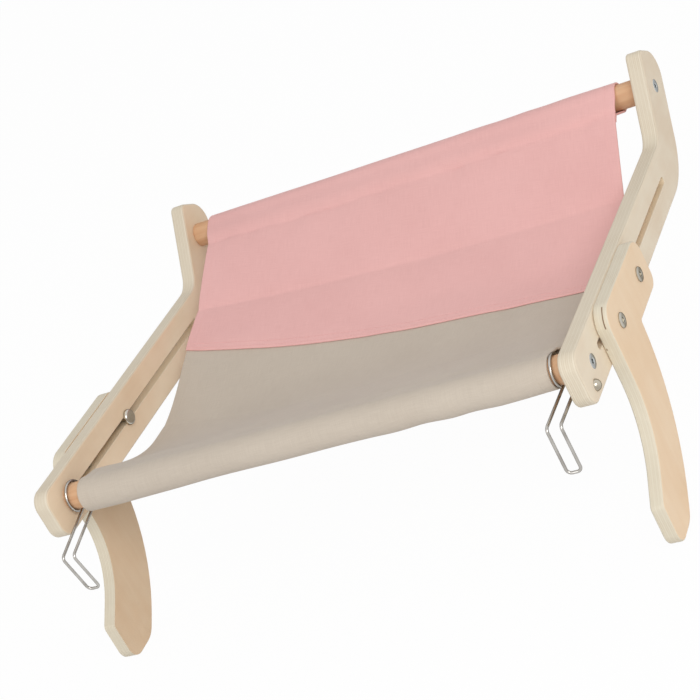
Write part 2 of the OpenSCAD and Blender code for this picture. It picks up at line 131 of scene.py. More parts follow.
def angle_prop(name, description, degrees):
    return FloatProperty(name=name, description=description, default=math.radians(degrees),
                         min=0.0, max=2 * math.pi, subtype="ANGLE", unit="ROTATION")


def share_prop(name, description, default):
    return FloatProperty(name=name, description=description, default=default, min=0.0,
                         max=1.0, subtype="FACTOR")


def colour_prop(name, description, *screen):
    return FloatVectorProperty(name=name, description=description, subtype="COLOR", size=3,
                               default=linear(*screen), min=0.0, max=1.0)


class HammockCloth(bpy.types.PropertyGroup):
    """Sizes and colours of the sewn seat"""
    thickness: length_prop("Thickness", "Thickness of the doubled cloth", 1.8 * MM)
    sleeve_play: length_prop("Sleeve play", "Room between a dowel and its sleeve", 0.4 * MM)
    fall: angle_prop("Fall", "Slope at which the seat leaves the lower dowel", 20)
    fall_run_left: length_prop("Fall run left", "Pull of that slope at the left edge", 0.125)
    fall_run_right: length_prop("Fall run right", "Pull of that slope at the right edge", 0.150)
    rise_left: angle_prop("Rise left", "Slope up to the upper dowel at the left edge", 26)
    rise_right: angle_prop("Rise right", "Slope up to the upper dowel at the right edge", 44)
    rise_run_left: length_prop("Rise run left", "Pull of that slope at the left edge", 0.307)
    rise_run_right: length_prop("Rise run right", "Pull of that slope at the right edge", 0.182)
    seam_left: share_prop("Seam left", "Place of the seam on the left edge's curve", 0.776)
    seam_right: share_prop("Seam right", "Place of the seam on the right edge's curve", 0.458)
    crease_left: share_prop("Crease left", "Place of the soft crease on the left edge", 0.867)
    crease_right: share_prop("Crease right", "Place of the soft crease on the right edge", 0.768)
    crease_half: share_prop("Crease reach", "Half of the crease's width along the curve", 0.11)
    crease_drop_left: length_prop("Crease drop left", "Depth of the crease, left", 6 * MM)
    crease_drop_right: length_prop("Crease drop right", "Depth of the crease, right", 2 * MM)
    crease_line: length_prop("Crease line", "Depth of the pressed line along the crease", 0.7 * MM)
    pocket_low: length_prop("Lower pocket", "Lower sleeve from dowel to stitching", 37 * MM)
    pocket_low_end: length_prop("Lower pocket end", "The same at the right edge", 31 * MM)
    pocket_up: length_prop("Upper pocket", "Upper sleeve from dowel to stitching", 29 * MM)
    pocket_up_end: length_prop("Upper pocket end", "The same at the right edge", 20 * MM)
    hem: length_prop("Hem", "Cloth past the sleeve's stitching", 8 * MM)
    overlap: length_prop("Overlap", "How far the pink panel lies over the beige one", 11 * MM)
    side_hem: length_prop("Side hem", "Width of the turned side hems", 12 * MM)
    bulge: length_prop("Bulge", "Fullness of a sleeve above its stitching", 1.6 * MM)
    pinch: length_prop("Pinch", "Depth to which the sleeves' stitching pulls in", 1.3 * MM)
    left_slack: length_prop("Left slack", "Slack of the sleeves at the left edge", 2.2 * MM)
    draw_in: length_prop("Draw in", "Pull of the side edges past the lower sleeve", 1.9 * MM)
    waist: length_prop("Waist", "Further pull below the upper sleeve", 3.0 * MM)
    ripple: length_prop("Ripple", "Height of the broad ripples", 1.3 * MM)
    pucker: length_prop("Pucker", "Height of the puckers along the stitching", 1.0 * MM)
    stitch: length_prop("Stitch", "Length of one stitch", 2.7 * MM)
    stitch_pitch: length_prop("Stitch pitch", "Distance from stitch to stitch", 3.6 * MM)
    thread: length_prop("Thread", "Diameter of the thread", 0.5 * MM)
    pink: colour_prop("Pink", "Upper panel", 237, 187, 184)
    pink_shade: colour_prop("Pink shade", "Darker threads of the upper panel", 221, 167, 164)
    beige: colour_prop("Beige", "Lower panel", 203, 192, 178)
    beige_shade: colour_prop("Beige shade", "Darker threads of the lower panel", 182, 169, 155)


class HammockWood(bpy.types.PropertyGroup):
    """Sizes and colours of the plywood and the dowels"""
    ease: length_prop("Eased edge", "Radius of the rounded board edges", 2.8 * MM)
    slot_ease: length_prop("Eased slot", "Width of the slot's broken edge", 0.5 * MM)
    plies: IntProperty(name="Plies", description="Layers of veneer in an arm", default=9, min=3,
                       max=15)
    arm_face: colour_prop("Arm face", "Veneer on the arms' outer faces", 238, 225, 203)
    arm_grain: colour_prop("Arm grain", "Grain of the arms' outer faces", 225, 202, 175)
    # The arms' inner-face colours are darker copies of the face veneer: painted shade on the inner
    # faces
    arm_back_shaded: colour_prop("Arm back", "Veneer on the arms' inner faces", 237, 216, 188)
    arm_back_grain_shaded: colour_prop("Arm back grain", "Grain of the arms' inner faces", 224, 195, 162)
    leg_face: colour_prop("Leg face", "Veneer on the legs' outer faces", 243, 217, 185)
    leg_grain: colour_prop("Leg grain", "Grain of the legs' outer faces", 234, 201, 164)
    # The legs' inner-face colours are darker copies of the face veneer: painted shade on the inner
    # faces
    leg_back_shaded: colour_prop("Leg back", "Veneer on the legs' inner faces", 226, 202, 172)
    leg_back_grain_shaded: colour_prop("Leg back grain", "Grain of the legs' inner faces", 216, 182, 146)
    edge_pale: colour_prop("Pale ply", "Long-grain plies on the arms' edges", 221, 211, 192)
    edge_dark: colour_prop("Dark ply", "End-grain plies on the arms' edges", 205, 190, 165)
    leg_pale: colour_prop("Pale leg ply", "Long-grain plies on the legs' edges", 221, 213, 194)
    leg_dark: colour_prop("Dark leg ply", "End-grain plies on the legs' edges", 206, 193, 169)
    glue: colour_prop("Glue line", "Thin lines between the plies", 180, 157, 126)
    slot: colour_prop("Slot wall", "Rough inside of the slots", 228, 210, 182)
    dowel: colour_prop("Dowel", "Oiled wood of the dowels", 219, 179, 141)
    dowel_grain: colour_prop("Dowel grain", "Grain of the dowels", 197, 147, 108)


class HammockMetal(bpy.types.PropertyGroup):
    """Sizes and colours of the hooks and fasteners"""
    wire: length_prop("Wire", "Diameter of the hook wire", 2.6 * MM)
    reach: length_prop("Reach", "Hook from the dowel's axis to its turned end", 62.5 * MM)
    drop: length_prop("Drop", "Down-turned end below the level wires", 41.5 * MM)
    width: length_prop("Width", "Distance between a hook's two wires", 12 * MM)
    bend: length_prop("Bend", "Radius of the hook's bends", 4 * MM)
    eye_turn: angle_prop("Eye turn", "How far round the dowel the eye is bent", 320)
    eye_pitch: length_prop("Eye pitch", "Side step of the eye in one turn", 1.2 * MM)
    left_x: FloatProperty(name="Left hook", description="Place of the left hook's first wire",
                          default=-243.6 * MM, unit="LENGTH")
    right_x: FloatProperty(name="Right hook", description="Place of the right hook's first wire",
                           default=231.6 * MM, unit="LENGTH")
    left_droop: angle_prop("Left droop", "Angle that the left hook hangs below level", 12)
    right_droop: angle_prop("Right droop", "Angle that the right hook hangs below level", 0)
    socket: length_prop("Socket", "Hexagon key size of the fasteners", 4 * MM)
    wire_steel: colour_prop("Wire", "Plating of the hook wire", 192, 189, 184)
    wire_dull: colour_prop("Dull wire", "Rubbed plating of the hook wire", 128, 120, 111)
    screw_steel: colour_prop("Screw", "Plating of the dowel screws", 205, 208, 208)
    screw_dull: colour_prop("Dull screw", "Rubbed plating of the screws", 170, 172, 172)
    bolt_steel: colour_prop("Bolt", "Plating of the leg bolts", 196, 192, 182)
    bolt_dull: colour_prop("Dull bolt", "Rubbed plating of the leg bolts", 158, 152, 140)
    bolt_rim: colour_prop("Bolt rim", "Bolt plating seen at a low angle", 118, 111, 100)
    stud_steel: colour_prop("Stud", "Plating of the end studs", 196, 188, 172)
    # Dark patches of the studs: partly rubbed plating, partly a painted dark reflection
    stud_wear_and_reflection: colour_prop("Dull stud", "Rubbed plating of the end studs", 104, 90, 74)
    rim: colour_prop("Rim", "Plating seen at a low angle", 84, 74, 64)
    screw_rim: colour_prop("Screw rim", "Screw plating seen at a low angle", 150, 150, 150)
    brass: colour_prop("Brass", "Threaded inserts", 196, 164, 102)


# Node trees

def connect(tree, node, sockets):
    """Links sockets to a node's inputs, or sets plain values on them."""
    for key, value in sockets.items():
        if isinstance(value, bpy.types.NodeSocket):
            tree.links.new(value, node.inputs[key])
        else:
            node.inputs[key].default_value = value


def add(tree, kind, sockets=None, **settings):
    """New node with its settings; sockets gives its inputs as links or plain values."""
    node = tree.nodes.new(kind)
    for key, value in settings.items():
        setattr(node, key, value)
    connect(tree, node, sockets or {})
    return node


def new_tree(name, kind, inputs, outputs):
    """New node group: the tree, the sockets that it is given, and the node at its end."""
    tree = bpy.data.node_groups.new(name, kind)
    for sockets, direction in ((inputs, "INPUT"), (outputs, "OUTPUT")):
        for label, socket, *default in sockets:
            made = tree.interface.new_socket(label, in_out=direction,
                                             socket_type="NodeSocket" + socket)
            if default:
                made.default_value = default[0]
    return tree, tree.nodes.new("NodeGroupInput").outputs, tree.nodes.new("NodeGroupOutput")


def shared(name, build):
    """Node group of that name, built on first use."""
    return bpy.data.node_groups.get(name) or build(name)


def mixed(tree, factor, first, second):
    """Colour mix; sockets 6 and 7 are the colour pair of the Mix node."""
    return add(tree, "ShaderNodeMix", {0: factor, 6: first, 7: second}, data_type="RGBA").outputs[2]


def maths(tree, operation, *values):
    return add(tree, "ShaderNodeMath", dict(enumerate(values)), operation=operation).outputs[0]


def ramped(tree, value, low, high, out_low=0.0, out_high=1.0):
    """Value brought from one range to another, held at its ends."""
    return add(tree, "ShaderNodeMapRange", {"Value": value, "From Min": low, "From Max": high,
                                            "To Min": out_low, "To Max": out_high}).outputs[0]


def noisy(tree, place, scale, detail, roughness=0.5, distortion=0.0):
    """Value of a noise texture at a place."""
    return add(tree, "ShaderNodeTexNoise", {
        "Vector": place, "Scale": scale, "Detail": detail, "Roughness": roughness,
        "Distortion": distortion}).outputs["Fac"]


def stretched(tree, place, factors):
    """Place multiplied axis by axis."""
    return add(tree, "ShaderNodeVectorMath", {0: place, 1: factors}, operation="MULTIPLY").outputs[0]


# Shader groups

def grain_group(name):
    """Wood grain: faint streaks on a stretched map, under soft clouds on the plain one."""
    tree, given, end = new_tree(
        name, "ShaderNodeTree",
        [("Stretched", "Vector"), ("Plain", "Vector"), ("Light", "Color"), ("Dark", "Color"),
         ("Streaks", "Float", 0.3), ("Clouds", "Float", 0.5)],
        [("Colour", "Color"), ("Height", "Float"), ("Roughness", "Float")])
    streak = ramped(tree, noisy(tree, given["Stretched"], 1.0, 5.0, 0.62, 0.35), 0.38, 0.72)
    cloud = ramped(tree, noisy(tree, given["Plain"], 19.0, 2.5, 0.55), 0.36, 0.66)
    both = maths(tree, "ADD", maths(tree, "MULTIPLY", streak, given["Streaks"]),
                 maths(tree, "MULTIPLY", cloud, given["Clouds"]))
    connect(tree, end, {"Colour": mixed(tree, both, given["Light"], given["Dark"]),
                        "Height": streak,
                        "Roughness": ramped(tree, both, 0.0, 1.0, 0.50, 0.64)})
    return tree


def ply_group(name):
    """Ply layers: veneers across X, glue lines, and open slits, painted dark as the shade inside them,
    in one band on the right side.
    """
    tree, given, end = new_tree(
        name, "ShaderNodeTree",
        [("Vector", "Vector"), ("Ply", "Float", 1.6 * MM), ("Pale", "Color"), ("Dark", "Color"),
         ("Glue", "Color"), ("Slit top", "Float", NO_SLITS)],
        [("Colour", "Color"), ("Height", "Float")])
    place = given["Vector"]
    x, y, z = add(tree, "ShaderNodeSeparateXYZ", {0: place}).outputs
    waver = ramped(tree, noisy(tree, place, 26.0, 2.0), 0.3, 0.7, -0.22, 0.22)
    layer = maths(tree, "ADD", maths(tree, "DIVIDE", x, given["Ply"]), waver)
    index = maths(tree, "FLOOR", layer)
    off_middle = maths(tree, "ABSOLUTE", maths(tree, "SUBTRACT", maths(tree, "FRACT", layer), 0.5))
    odd = maths(tree, "MODULO", maths(tree, "ABSOLUTE", index), 2.0)
    fibre = noisy(tree, stretched(tree, place, (2600, 130, 130)), 1.0, 3.0)
    tone = maths(tree, "ADD", maths(tree, "MULTIPLY", odd, 0.2),
                 ramped(tree, fibre, 0.35, 0.7, 0.0, 0.25))
    strength = ramped(tree, noisy(tree, place, 34.0, 1.0), 0.42, 0.64, 0.2, 0.8)
    line = maths(tree, "MULTIPLY", ramped(tree, off_middle, 0.40, 0.49), strength)
    lined = mixed(tree, line, mixed(tree, tone, given["Pale"], given["Dark"]), given["Glue"])
    # Each ply draws its own slits, from a noise that differs from ply to ply
    below = maths(tree, "SUBTRACT", given["Slit top"], z)
    draw = add(tree, "ShaderNodeCombineXYZ", {
        0: maths(tree, "MULTIPLY", maths(tree, "ADD", index, 2.0), 7.31),
        1: maths(tree, "MULTIPLY", y, 38.0),
        2: maths(tree, "MULTIPLY", maths(tree, "SUBTRACT", SLIT_PHASE, below), 38.0)}).outputs[0]
    slit = maths(tree, "MULTIPLY", ramped(tree, noisy(tree, draw, 1.0, 0.0), 0.66, 0.68),
                 ramped(tree, off_middle, 0.34, 0.24))
    band = maths(tree, "MULTIPLY", maths(tree, "COMPARE", below, SLIT_BAND / 2, SLIT_BAND / 2),
                 maths(tree, "GREATER_THAN", x, 0.0))
    slit = maths(tree, "MULTIPLY", slit, band)
    depth = maths(tree, "ADD", maths(tree, "MULTIPLY", line, 0.4), slit)
    # The slits take a dark colour: painted shade inside the voids
    connect(tree, end, {"Colour": mixed(tree, slit, lined, SLIT_SHADE_COLOUR),
                        "Height": maths(tree, "SUBTRACT", maths(tree, "MULTIPLY", tone, -0.25),
                                        depth)})
    return tree


def weave_group(name):
    """Plain weave: crossing threads on a flat map in metres, with slubs, slow tone changes and painted
    shade in the gaps between threads.
    """
    tree, given, end = new_tree(
        name, "ShaderNodeTree",
        [("Vector", "Vector"), ("Pitch", "Float", 0.8 * MM), ("Light", "Color"), ("Shade", "Color"),
         ("Contrast", "Float", 0.5)],
        [("Colour", "Color"), ("Height", "Float"), ("Roughness", "Float")])
    place = given["Vector"]
    waves = []
    for way in add(tree, "ShaderNodeSeparateXYZ", {0: place}).outputs[:2]:
        turn = maths(tree, "MULTIPLY", maths(tree, "DIVIDE", way, given["Pitch"]), math.pi)
        waves.append(maths(tree, "ABSOLUTE", maths(tree, "SINE", turn)))
    threads = maths(tree, "MULTIPLY", *waves)
    slubs = [noisy(tree, stretched(tree, place, factors), 1.0, 2.0)
             for factors in ((1500, 60, 1), (60, 1500, 1))]
    slub = maths(tree, "MULTIPLY", maths(tree, "ADD", *slubs), 0.5)
    slow = ramped(tree, noisy(tree, place, 11.0, 3.0), 0.3, 0.7, -0.15, 0.3)
    # Slubs and slow changes are the cloth's own tone; the gaps between crossing threads are painted
    # darker, as their shade
    tone = maths(tree, "ADD", ramped(tree, slub, 0.36, 0.66, 0.0, 0.7),
                 maths(tree, "ADD", slow, ramped(tree, threads, 0.0, 1.0, 0.25, -0.1)))
    amount = add(tree, "ShaderNodeClamp", {0: maths(tree, "MULTIPLY", tone, given["Contrast"])})
    connect(tree, end, {"Colour": mixed(tree, amount.outputs[0], given["Light"], given["Shade"]),
                        "Height": maths(tree, "ADD", threads, maths(tree, "MULTIPLY", slub, 0.9)),
                        "Roughness": ramped(tree, slub, 0.3, 0.7, 0.82, 0.94)})
    return tree


def plating_group(name):
    """Plating: fine drawn lines and rubbed, duller patches on metal."""
    tree, given, end = new_tree(
        name, "ShaderNodeTree",
        [("Vector", "Vector"), ("Bright", "Color"), ("Dull", "Color"), ("Wear", "Float", 0.4)],
        [("Colour", "Color"), ("Roughness", "Float"), ("Height", "Float")])
    fine = noisy(tree, given["Vector"], 1400.0, 2.0)
    rubbed = ramped(tree, noisy(tree, given["Vector"], 70.0, 1.5), 0.42, 0.68)
    worn = maths(tree, "MULTIPLY", rubbed, given["Wear"])
    connect(tree, end, {"Colour": mixed(tree, worn, given["Bright"], given["Dull"]),
                        "Roughness": maths(tree, "ADD", ramped(tree, worn, 0.0, 1.0, 0.16, 0.36),
                                           ramped(tree, fine, 0.3, 0.7, -0.03, 0.05)),
                        "Height": fine})
    return tree


# Materials

def new_material(name):
    """Empty material with a Principled BSDF on its output."""
    material = bpy.data.materials.new(name)
    material.use_nodes = True
    tree = material.node_tree
    tree.nodes.clear()
    shader = tree.nodes.new("ShaderNodeBsdfPrincipled")
    add(tree, "ShaderNodeOutputMaterial", {0: shader.outputs[0]})
    return material, tree, shader


def object_place(tree):
    return tree.nodes.new("ShaderNodeTexCoord").outputs["Object"]


def attribute(tree, name):
    return add(tree, "ShaderNodeAttribute", attribute_name=name).outputs["Fac"]


def effect(tree, name, build, sockets):
    """Outputs of a shared shader group that is placed in a material with its own values."""
    return add(tree, "ShaderNodeGroup", sockets, node_tree=shared(name, build)).outputs


def surface(tree, shader, given, bump, depth, plain):
    """Puts colour, roughness and height on a shader, and the values that are plain all over."""
    relief = add(tree, "ShaderNodeBump", {"Height": given["Height"], "Strength": bump,
                                          "Distance": depth})
    connect(tree, shader, {"Base Color": given["Colour"], "Roughness": given["Roughness"],
                           "Normal": relief.outputs[0], **plain})


def rgba(colour):
    return (*colour, 1.0)


def plywood(name, tones, wood, stretch, slit_top):
    """Board material: grained veneer on both faces, darker on the inner faces as painted shade, and
    ply layers where the board is cut.
    """
    material, tree, shader = new_material(name)
    place = object_place(tree)
    mapping = add(tree, "ShaderNodeMapping", {"Vector": place, "Scale": stretch})
    face, grain, back, back_grain_shaded, pale, dark = [rgba(tone) for tone in tones]
    inner, cut, slot = [attribute(tree, label) for label in ("inner_face", "cut_edge", "slot_wall")]
    # Inner faces take the darker veneer colours: painted shade
    veneer = effect(tree, "Wood grain", grain_group, {
        "Stretched": mapping.outputs[0], "Plain": place, "Light": mixed(tree, inner, face, back),
        "Dark": mixed(tree, inner, grain, back_grain_shaded), "Streaks": 0.22, "Clouds": 0.4})
    layers = effect(tree, "Ply layers", ply_group, {
        "Vector": place, "Ply": (ARM_FACE_X - ARM_INNER_X) / wood.plies, "Pale": pale, "Dark": dark,
        "Glue": rgba(wood.glue), "Slit top": slit_top})
    board = mixed(tree, cut, veneer["Colour"], layers["Colour"])
    height = add(tree, "ShaderNodeMix", {0: cut, 2: veneer["Height"], 3: layers["Height"]})
    look = {"Colour": mixed(tree, slot, board, rgba(wood.slot)), "Roughness": veneer["Roughness"],
            "Height": height.outputs[0]}
    surface(tree, shader, look, 0.35, 0.25 * MM, {"Specular IOR Level": 0.35})
    return material


def dowel_wood(wood):
    """Oiled wood with broad grain along the dowel."""
    material, tree, shader = new_material("oiled_dowel")
    place = object_place(tree)
    mapping = add(tree, "ShaderNodeMapping", {"Vector": place, "Scale": (8, 125, 125)})
    grain = effect(tree, "Wood grain", grain_group, {
        "Stretched": mapping.outputs[0], "Plain": place, "Light": rgba(wood.dowel),
        "Dark": rgba(wood.dowel_grain), "Streaks": 0.8, "Clouds": 0.3})
    surface(tree, shader, grain, 0.3, 0.2 * MM, {})
    return material


def woven(name, light, shade):
    """Soft brushed cloth on the panel's own flat map, which is in metres."""
    material, tree, shader = new_material(name)
    weave = effect(tree, "Plain weave", weave_group, {
        "Vector": add(tree, "ShaderNodeUVMap", uv_map="cut").outputs[0], "Pitch": 1.1 * MM,
        "Light": rgba(light), "Shade": rgba(shade), "Contrast": 0.55})
    surface(tree, shader, weave, 0.35, 0.3 * MM, {
        "Specular IOR Level": 0.2, "Sheen Weight": 0.18, "Sheen Roughness": 0.5})
    return material


def thread_stuff(name, light, shade):
    """Sewing thread in the cloth's own shades, on Object coordinates."""
    material, tree, shader = new_material(name)
    weave = effect(tree, "Plain weave", weave_group, {
        "Vector": object_place(tree), "Pitch": 0.4 * MM, "Light": rgba(light),
        "Shade": rgba(shade), "Contrast": 0.8})
    surface(tree, shader, weave, 0.3, 0.1 * MM, {"Specular IOR Level": 0.15})
    return material


def plated(name, bright, dull, edge, wear):
    """Plated metal, darker where it is seen at a low angle."""
    material, tree, shader = new_material(name)
    plating = effect(tree, "Plating", plating_group, {
        "Vector": object_place(tree), "Bright": rgba(bright), "Dull": rgba(dull), "Wear": wear})
    surface(tree, shader, plating, 0.08, 0.05 * MM, {"Metallic": 1.0, "Specular Tint": rgba(edge)})
    return material


# Meshes

def new_piece(name, data):
    """New object at the origin, in the scene."""
    piece = bpy.data.objects.new(name, data)
    bpy.context.scene.collection.objects.link(piece)
    return piece


def hand_in(piece, material, slot, body, *nodes):
    """Gives a finished piece its material and its body, and hides the nodes it stands for."""
    piece.data.materials.clear()
    piece.data.materials.append(material)
    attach(piece, body)
    if nodes:
        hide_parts(*nodes)


def mesh_of(bm, name):
    mesh = bpy.data.meshes.new(name)
    bm.to_mesh(mesh)
    bm.free()
    return mesh


def in_slot(place):
    """Whether a point of an arm's face lies on the edge of its slot."""
    return abs(place.z - LOWER_AXIS.y) < SLOT_REACH and SLOT_START < place.y < SLOT_END


def face_edges(bm, bores, slotted):
    """Edges round a board's two faces, and those of its slot; the rims of bores stay out."""
    outer, inner = [], []
    for edge in bm.edges:
        if len(edge.link_faces) != 2:
            continue
        tilt = sorted(abs(face.normal.x) for face in edge.link_faces)
        if tilt[1] < 0.99 or tilt[0] > 0.1:
            continue
        middle = (edge.verts[0].co + edge.verts[1].co) / 2
        if any(math.hypot(middle.y - y, middle.z - z) < r for y, z, r in bores):
            continue
        (inner if slotted and in_slot(middle) else outer).append(edge)
    return outer, inner


def eased_board(name, node, ease, slot_ease, bores):
    """Copy of a CAD board with eased edges; bores are (y, z, radius) whose rims stay sharp."""
    bm = bmesh.new()
    bm.from_mesh(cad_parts[node].data)
    bmesh.ops.remove_doubles(bm, verts=bm.verts, dist=1e-6)
    bmesh.ops.dissolve_limit(bm, angle_limit=math.radians(0.4), verts=bm.verts, edges=bm.edges)
    bm.normal_update()
    for edges, width in zip(face_edges(bm, bores, slot_ease > 0), (ease, slot_ease)):
        if edges:
            bmesh.ops.bevel(bm, geom=edges, offset=width, offset_type="OFFSET", segments=5,
                            profile=0.5, affect="EDGES", clamp_overlap=True)
    bm.normal_update()
    cut, slot_wall, inner_face = [bm.faces.layers.float.new(label)
                                  for label in ("cut_edge", "slot_wall", "inner_face")]
    side = math.copysign(1, centre(node).x)
    kinds = {}
    for face in bm.faces:
        face.smooth = True
        tilt = abs(face.normal.x)
        kinds[face] = "veneer" if tilt > 0.995 else "edge" if tilt < 0.05 else "eased"
        face[cut] = min(1.0, max(0.0, (0.98 - tilt) / 0.2))
        # inner_face marks the faces that the material paints darker, as painted shade
        face[inner_face] = float(face.normal.x * side < 0)
        face[slot_wall] = float(slot_ease > 0 and tilt < 0.5 and in_slot(face.calc_center_median()))
    for edge in bm.edges:
        if len(edge.link_faces) == 2:
            one, two = edge.link_faces
            edge.smooth = kinds[one] == kinds[two] and edge.calc_face_angle(0) < SHARP
    return new_piece(name, mesh_of(bm, name))


def ring(bm, x, radius, count, hexagon):
    """Ring of points round the X axis, round or hexagonal; one point where the radius is 0."""
    if radius == 0:
        return [bm.verts.new((x, 0, 0))]
    points = []
    for k in range(count):
        turn = 2 * math.pi * k / count
        reach = radius
        if hexagon:
            reach = radius / math.cos((turn % (math.pi / 3)) - math.pi / 6)
        points.append(bm.verts.new((x, reach * math.cos(turn), reach * math.sin(turn))))
    return points


def turned_mesh(name, profile, count):
    """Closed mesh turned round the X axis from (x, radius) or (x, radius, "hex") stations."""
    bm = bmesh.new()
    rings = [ring(bm, station[0], station[1], count, len(station) > 2) for station in profile]
    for first, second in zip(rings, rings[1:]):
        for k in range(count):
            n = (k + 1) % count
            corners = [first[k % len(first)], first[n % len(first)],
                       second[n % len(second)], second[k % len(second)]]
            corners = [v for i, v in enumerate(corners) if v not in corners[:i]]
            if len(corners) > 2:
                bm.faces.new(corners)
    bmesh.ops.recalc_face_normals(bm, faces=bm.faces)
    for face in bm.faces:
        face.smooth = True
    for edge in bm.edges:
        edge.smooth = edge.calc_face_angle(0) < SHARP
    return mesh_of(bm, name)


# Geometry node trees

def geometry_tree(name, inputs):
    """Geometry tree with its sizes and a material as named inputs."""
    return new_tree(name, "GeometryNodeTree",
                    [("Geometry", "Geometry"), *inputs, ("Material", "Material")],
                    [("Geometry", "Geometry")])


def dressed_end(tree, given, end, geometry):
    """Realize Instances and Set Material at the end of a tree."""
    real = add(tree, "GeometryNodeRealizeInstances", {0: geometry})
    paint = add(tree, "GeometryNodeSetMaterial", {"Geometry": real.outputs[0],
                                                  "Material": given["Material"]})
    connect(tree, end, {0: paint.outputs[0]})


def fastener_tree(name):
    """Sets a copy of one fastener on every point, turned by the point's own turn."""
    tree, given, end = geometry_tree(name, [("Fastener", "Object")])
    source = add(tree, "GeometryNodeObjectInfo", {"Object": given["Fastener"], "As Instance": True})
    turn = add(tree, "GeometryNodeInputNamedAttribute", {"Name": "turn"}, data_type="FLOAT_VECTOR")
    rotation = add(tree, "FunctionNodeEulerToRotation", {0: turn.outputs[0]})
    copies = add(tree, "GeometryNodeInstanceOnPoints", {
        "Points": given["Geometry"], "Instance": source.outputs["Geometry"],
        "Rotation": rotation.outputs[0]})
    dressed_end(tree, given, end, copies.outputs[0])
    return tree


def wire_tree(name):
    """Sweeps a round wire along a bent path; the girth attribute rounds its ends."""
    tree, given, end = geometry_tree(name, [("Diameter", "Float", 2.6 * MM),
                                            ("Sides", "Int", WIRE_SIDES)])
    path = add(tree, "GeometryNodeMeshToCurve", {0: given["Geometry"]})
    girth = add(tree, "GeometryNodeInputNamedAttribute", {"Name": "girth"}, data_type="FLOAT")
    section = add(tree, "GeometryNodeCurvePrimitiveCircle", {
        "Resolution": given["Sides"], "Radius": maths(tree, "MULTIPLY", given["Diameter"], 0.5)})
    sweep = add(tree, "GeometryNodeCurveToMesh", {
        "Curve": path.outputs[0], "Profile Curve": section.outputs[0],
        "Scale": girth.outputs[0], "Fill Caps": True})
    smooth = add(tree, "GeometryNodeSetShadeSmooth", {0: sweep.outputs[0]})
    dressed_end(tree, given, end, smooth.outputs[0])
    return tree


def stitch_tree(name):
    """Lays one stitch after another along every line of a row of stitching."""
    tree, given, end = geometry_tree(name, [("Pitch", "Float", 3.6 * MM),
                                            ("Stitch", "Float", 2.7 * MM),
                                            ("Thread", "Float", 0.5 * MM)])
    path = add(tree, "GeometryNodeMeshToCurve", {0: given["Geometry"]})
    spots = add(tree, "GeometryNodeCurveToPoints", {"Curve": path.outputs[0],
                                                    "Length": given["Pitch"]}, mode="LENGTH")
    loop = add(tree, "GeometryNodeMeshUVSphere", {"Segments": 6, "Rings": 4, "Radius": 0.5})
    size = add(tree, "ShaderNodeCombineXYZ", {0: given["Thread"], 1: given["Thread"],
                                              2: given["Stitch"]})
    copies = add(tree, "GeometryNodeInstanceOnPoints", {
        "Points": spots.outputs["Points"], "Instance": loop.outputs[0],
        "Rotation": spots.outputs["Rotation"], "Scale": size.outputs[0]})
    smooth = add(tree, "GeometryNodeSetShadeSmooth", {0: copies.outputs[0]})
    dressed_end(tree, given, end, smooth.outputs[0])
    return tree


def grown(name, seed_mesh, tree, values):
    """Plain mesh piece that a geometry tree makes from a seed mesh."""
    seed = new_piece(name + "_seed", seed_mesh)
    modifier = seed.modifiers.new("grow", "NODES")
    modifier.node_group = tree
    names = {item.name: item.identifier for item in tree.interface.items_tree
             if item.item_type == "SOCKET" and item.in_out == "INPUT"}
    for key, value in values.items():
        modifier[names[key]] = value
    seed.update_tag()
    bpy.context.view_layer.update()
    graph = bpy.context.evaluated_depsgraph_get()
    mesh = bpy.data.meshes.new_from_object(seed.evaluated_get(graph))
    bpy.data.objects.remove(seed)
    if not mesh.polygons:
        raise RuntimeError(name + " came out empty")
    mesh.name = name
    return new_piece(name, mesh)


def points_mesh(name, points, edges=(), attributes=()):
    """Loose points or lines that a geometry tree starts from."""
    mesh = bpy.data.meshes.new(name)
    mesh.from_pydata([tuple(p) for p in points], list(edges), [])
    for label, kind, values in attributes:
        layer = mesh.attributes.new(label, kind, "POINT")
        layer.data.foreach_set("value" if kind == "FLOAT" else "vector",
                               np.asarray(values, float).ravel())
    return mesh


def line_edges(count, first=0):
    """Edges that join points one after another."""
    return [(first + k, first + k + 1) for k in range(count - 1)]


def set_fasteners(name, template, spots, material):
    """Fasteners at (x, y, z) spots; one on the left side is turned to face left."""
    model = new_piece(name + "_model", template)
    turns = [(0, 0, math.pi if spot[0] < 0 else 0) for spot in spots]
    seed = points_mesh(name, spots, (), [("turn", "FLOAT_VECTOR", turns)])
    piece = grown(name, seed, shared("Set fasteners", fastener_tree),
                  {"Fastener": model, "Material": material})
    bpy.data.objects.remove(model)
    return piece


# The seat's shape

def between(first, second, side):
    return first + (second - first) * side


def ease_in(value):
    """0 below 0, 1 above 1, and a smooth rise between them."""
    value = min(1.0, max(0.0, value))
    return value * value * (3 - 2 * value)


def fade(distance, reach):
    """1 on a line of the cloth, dying away on both sides of it."""
    return math.exp(-abs(distance) / reach)


def swell(distance, reach):
    """The same with a rounded top."""
    return math.exp(-(distance / reach) ** 2)


def across(side):
    """X of a place across the seat."""
    return between(-CLOTH_HALF_W, CLOTH_HALF_W, side)


def on_circle(angle):
    return Vector((math.cos(angle), math.sin(angle)))


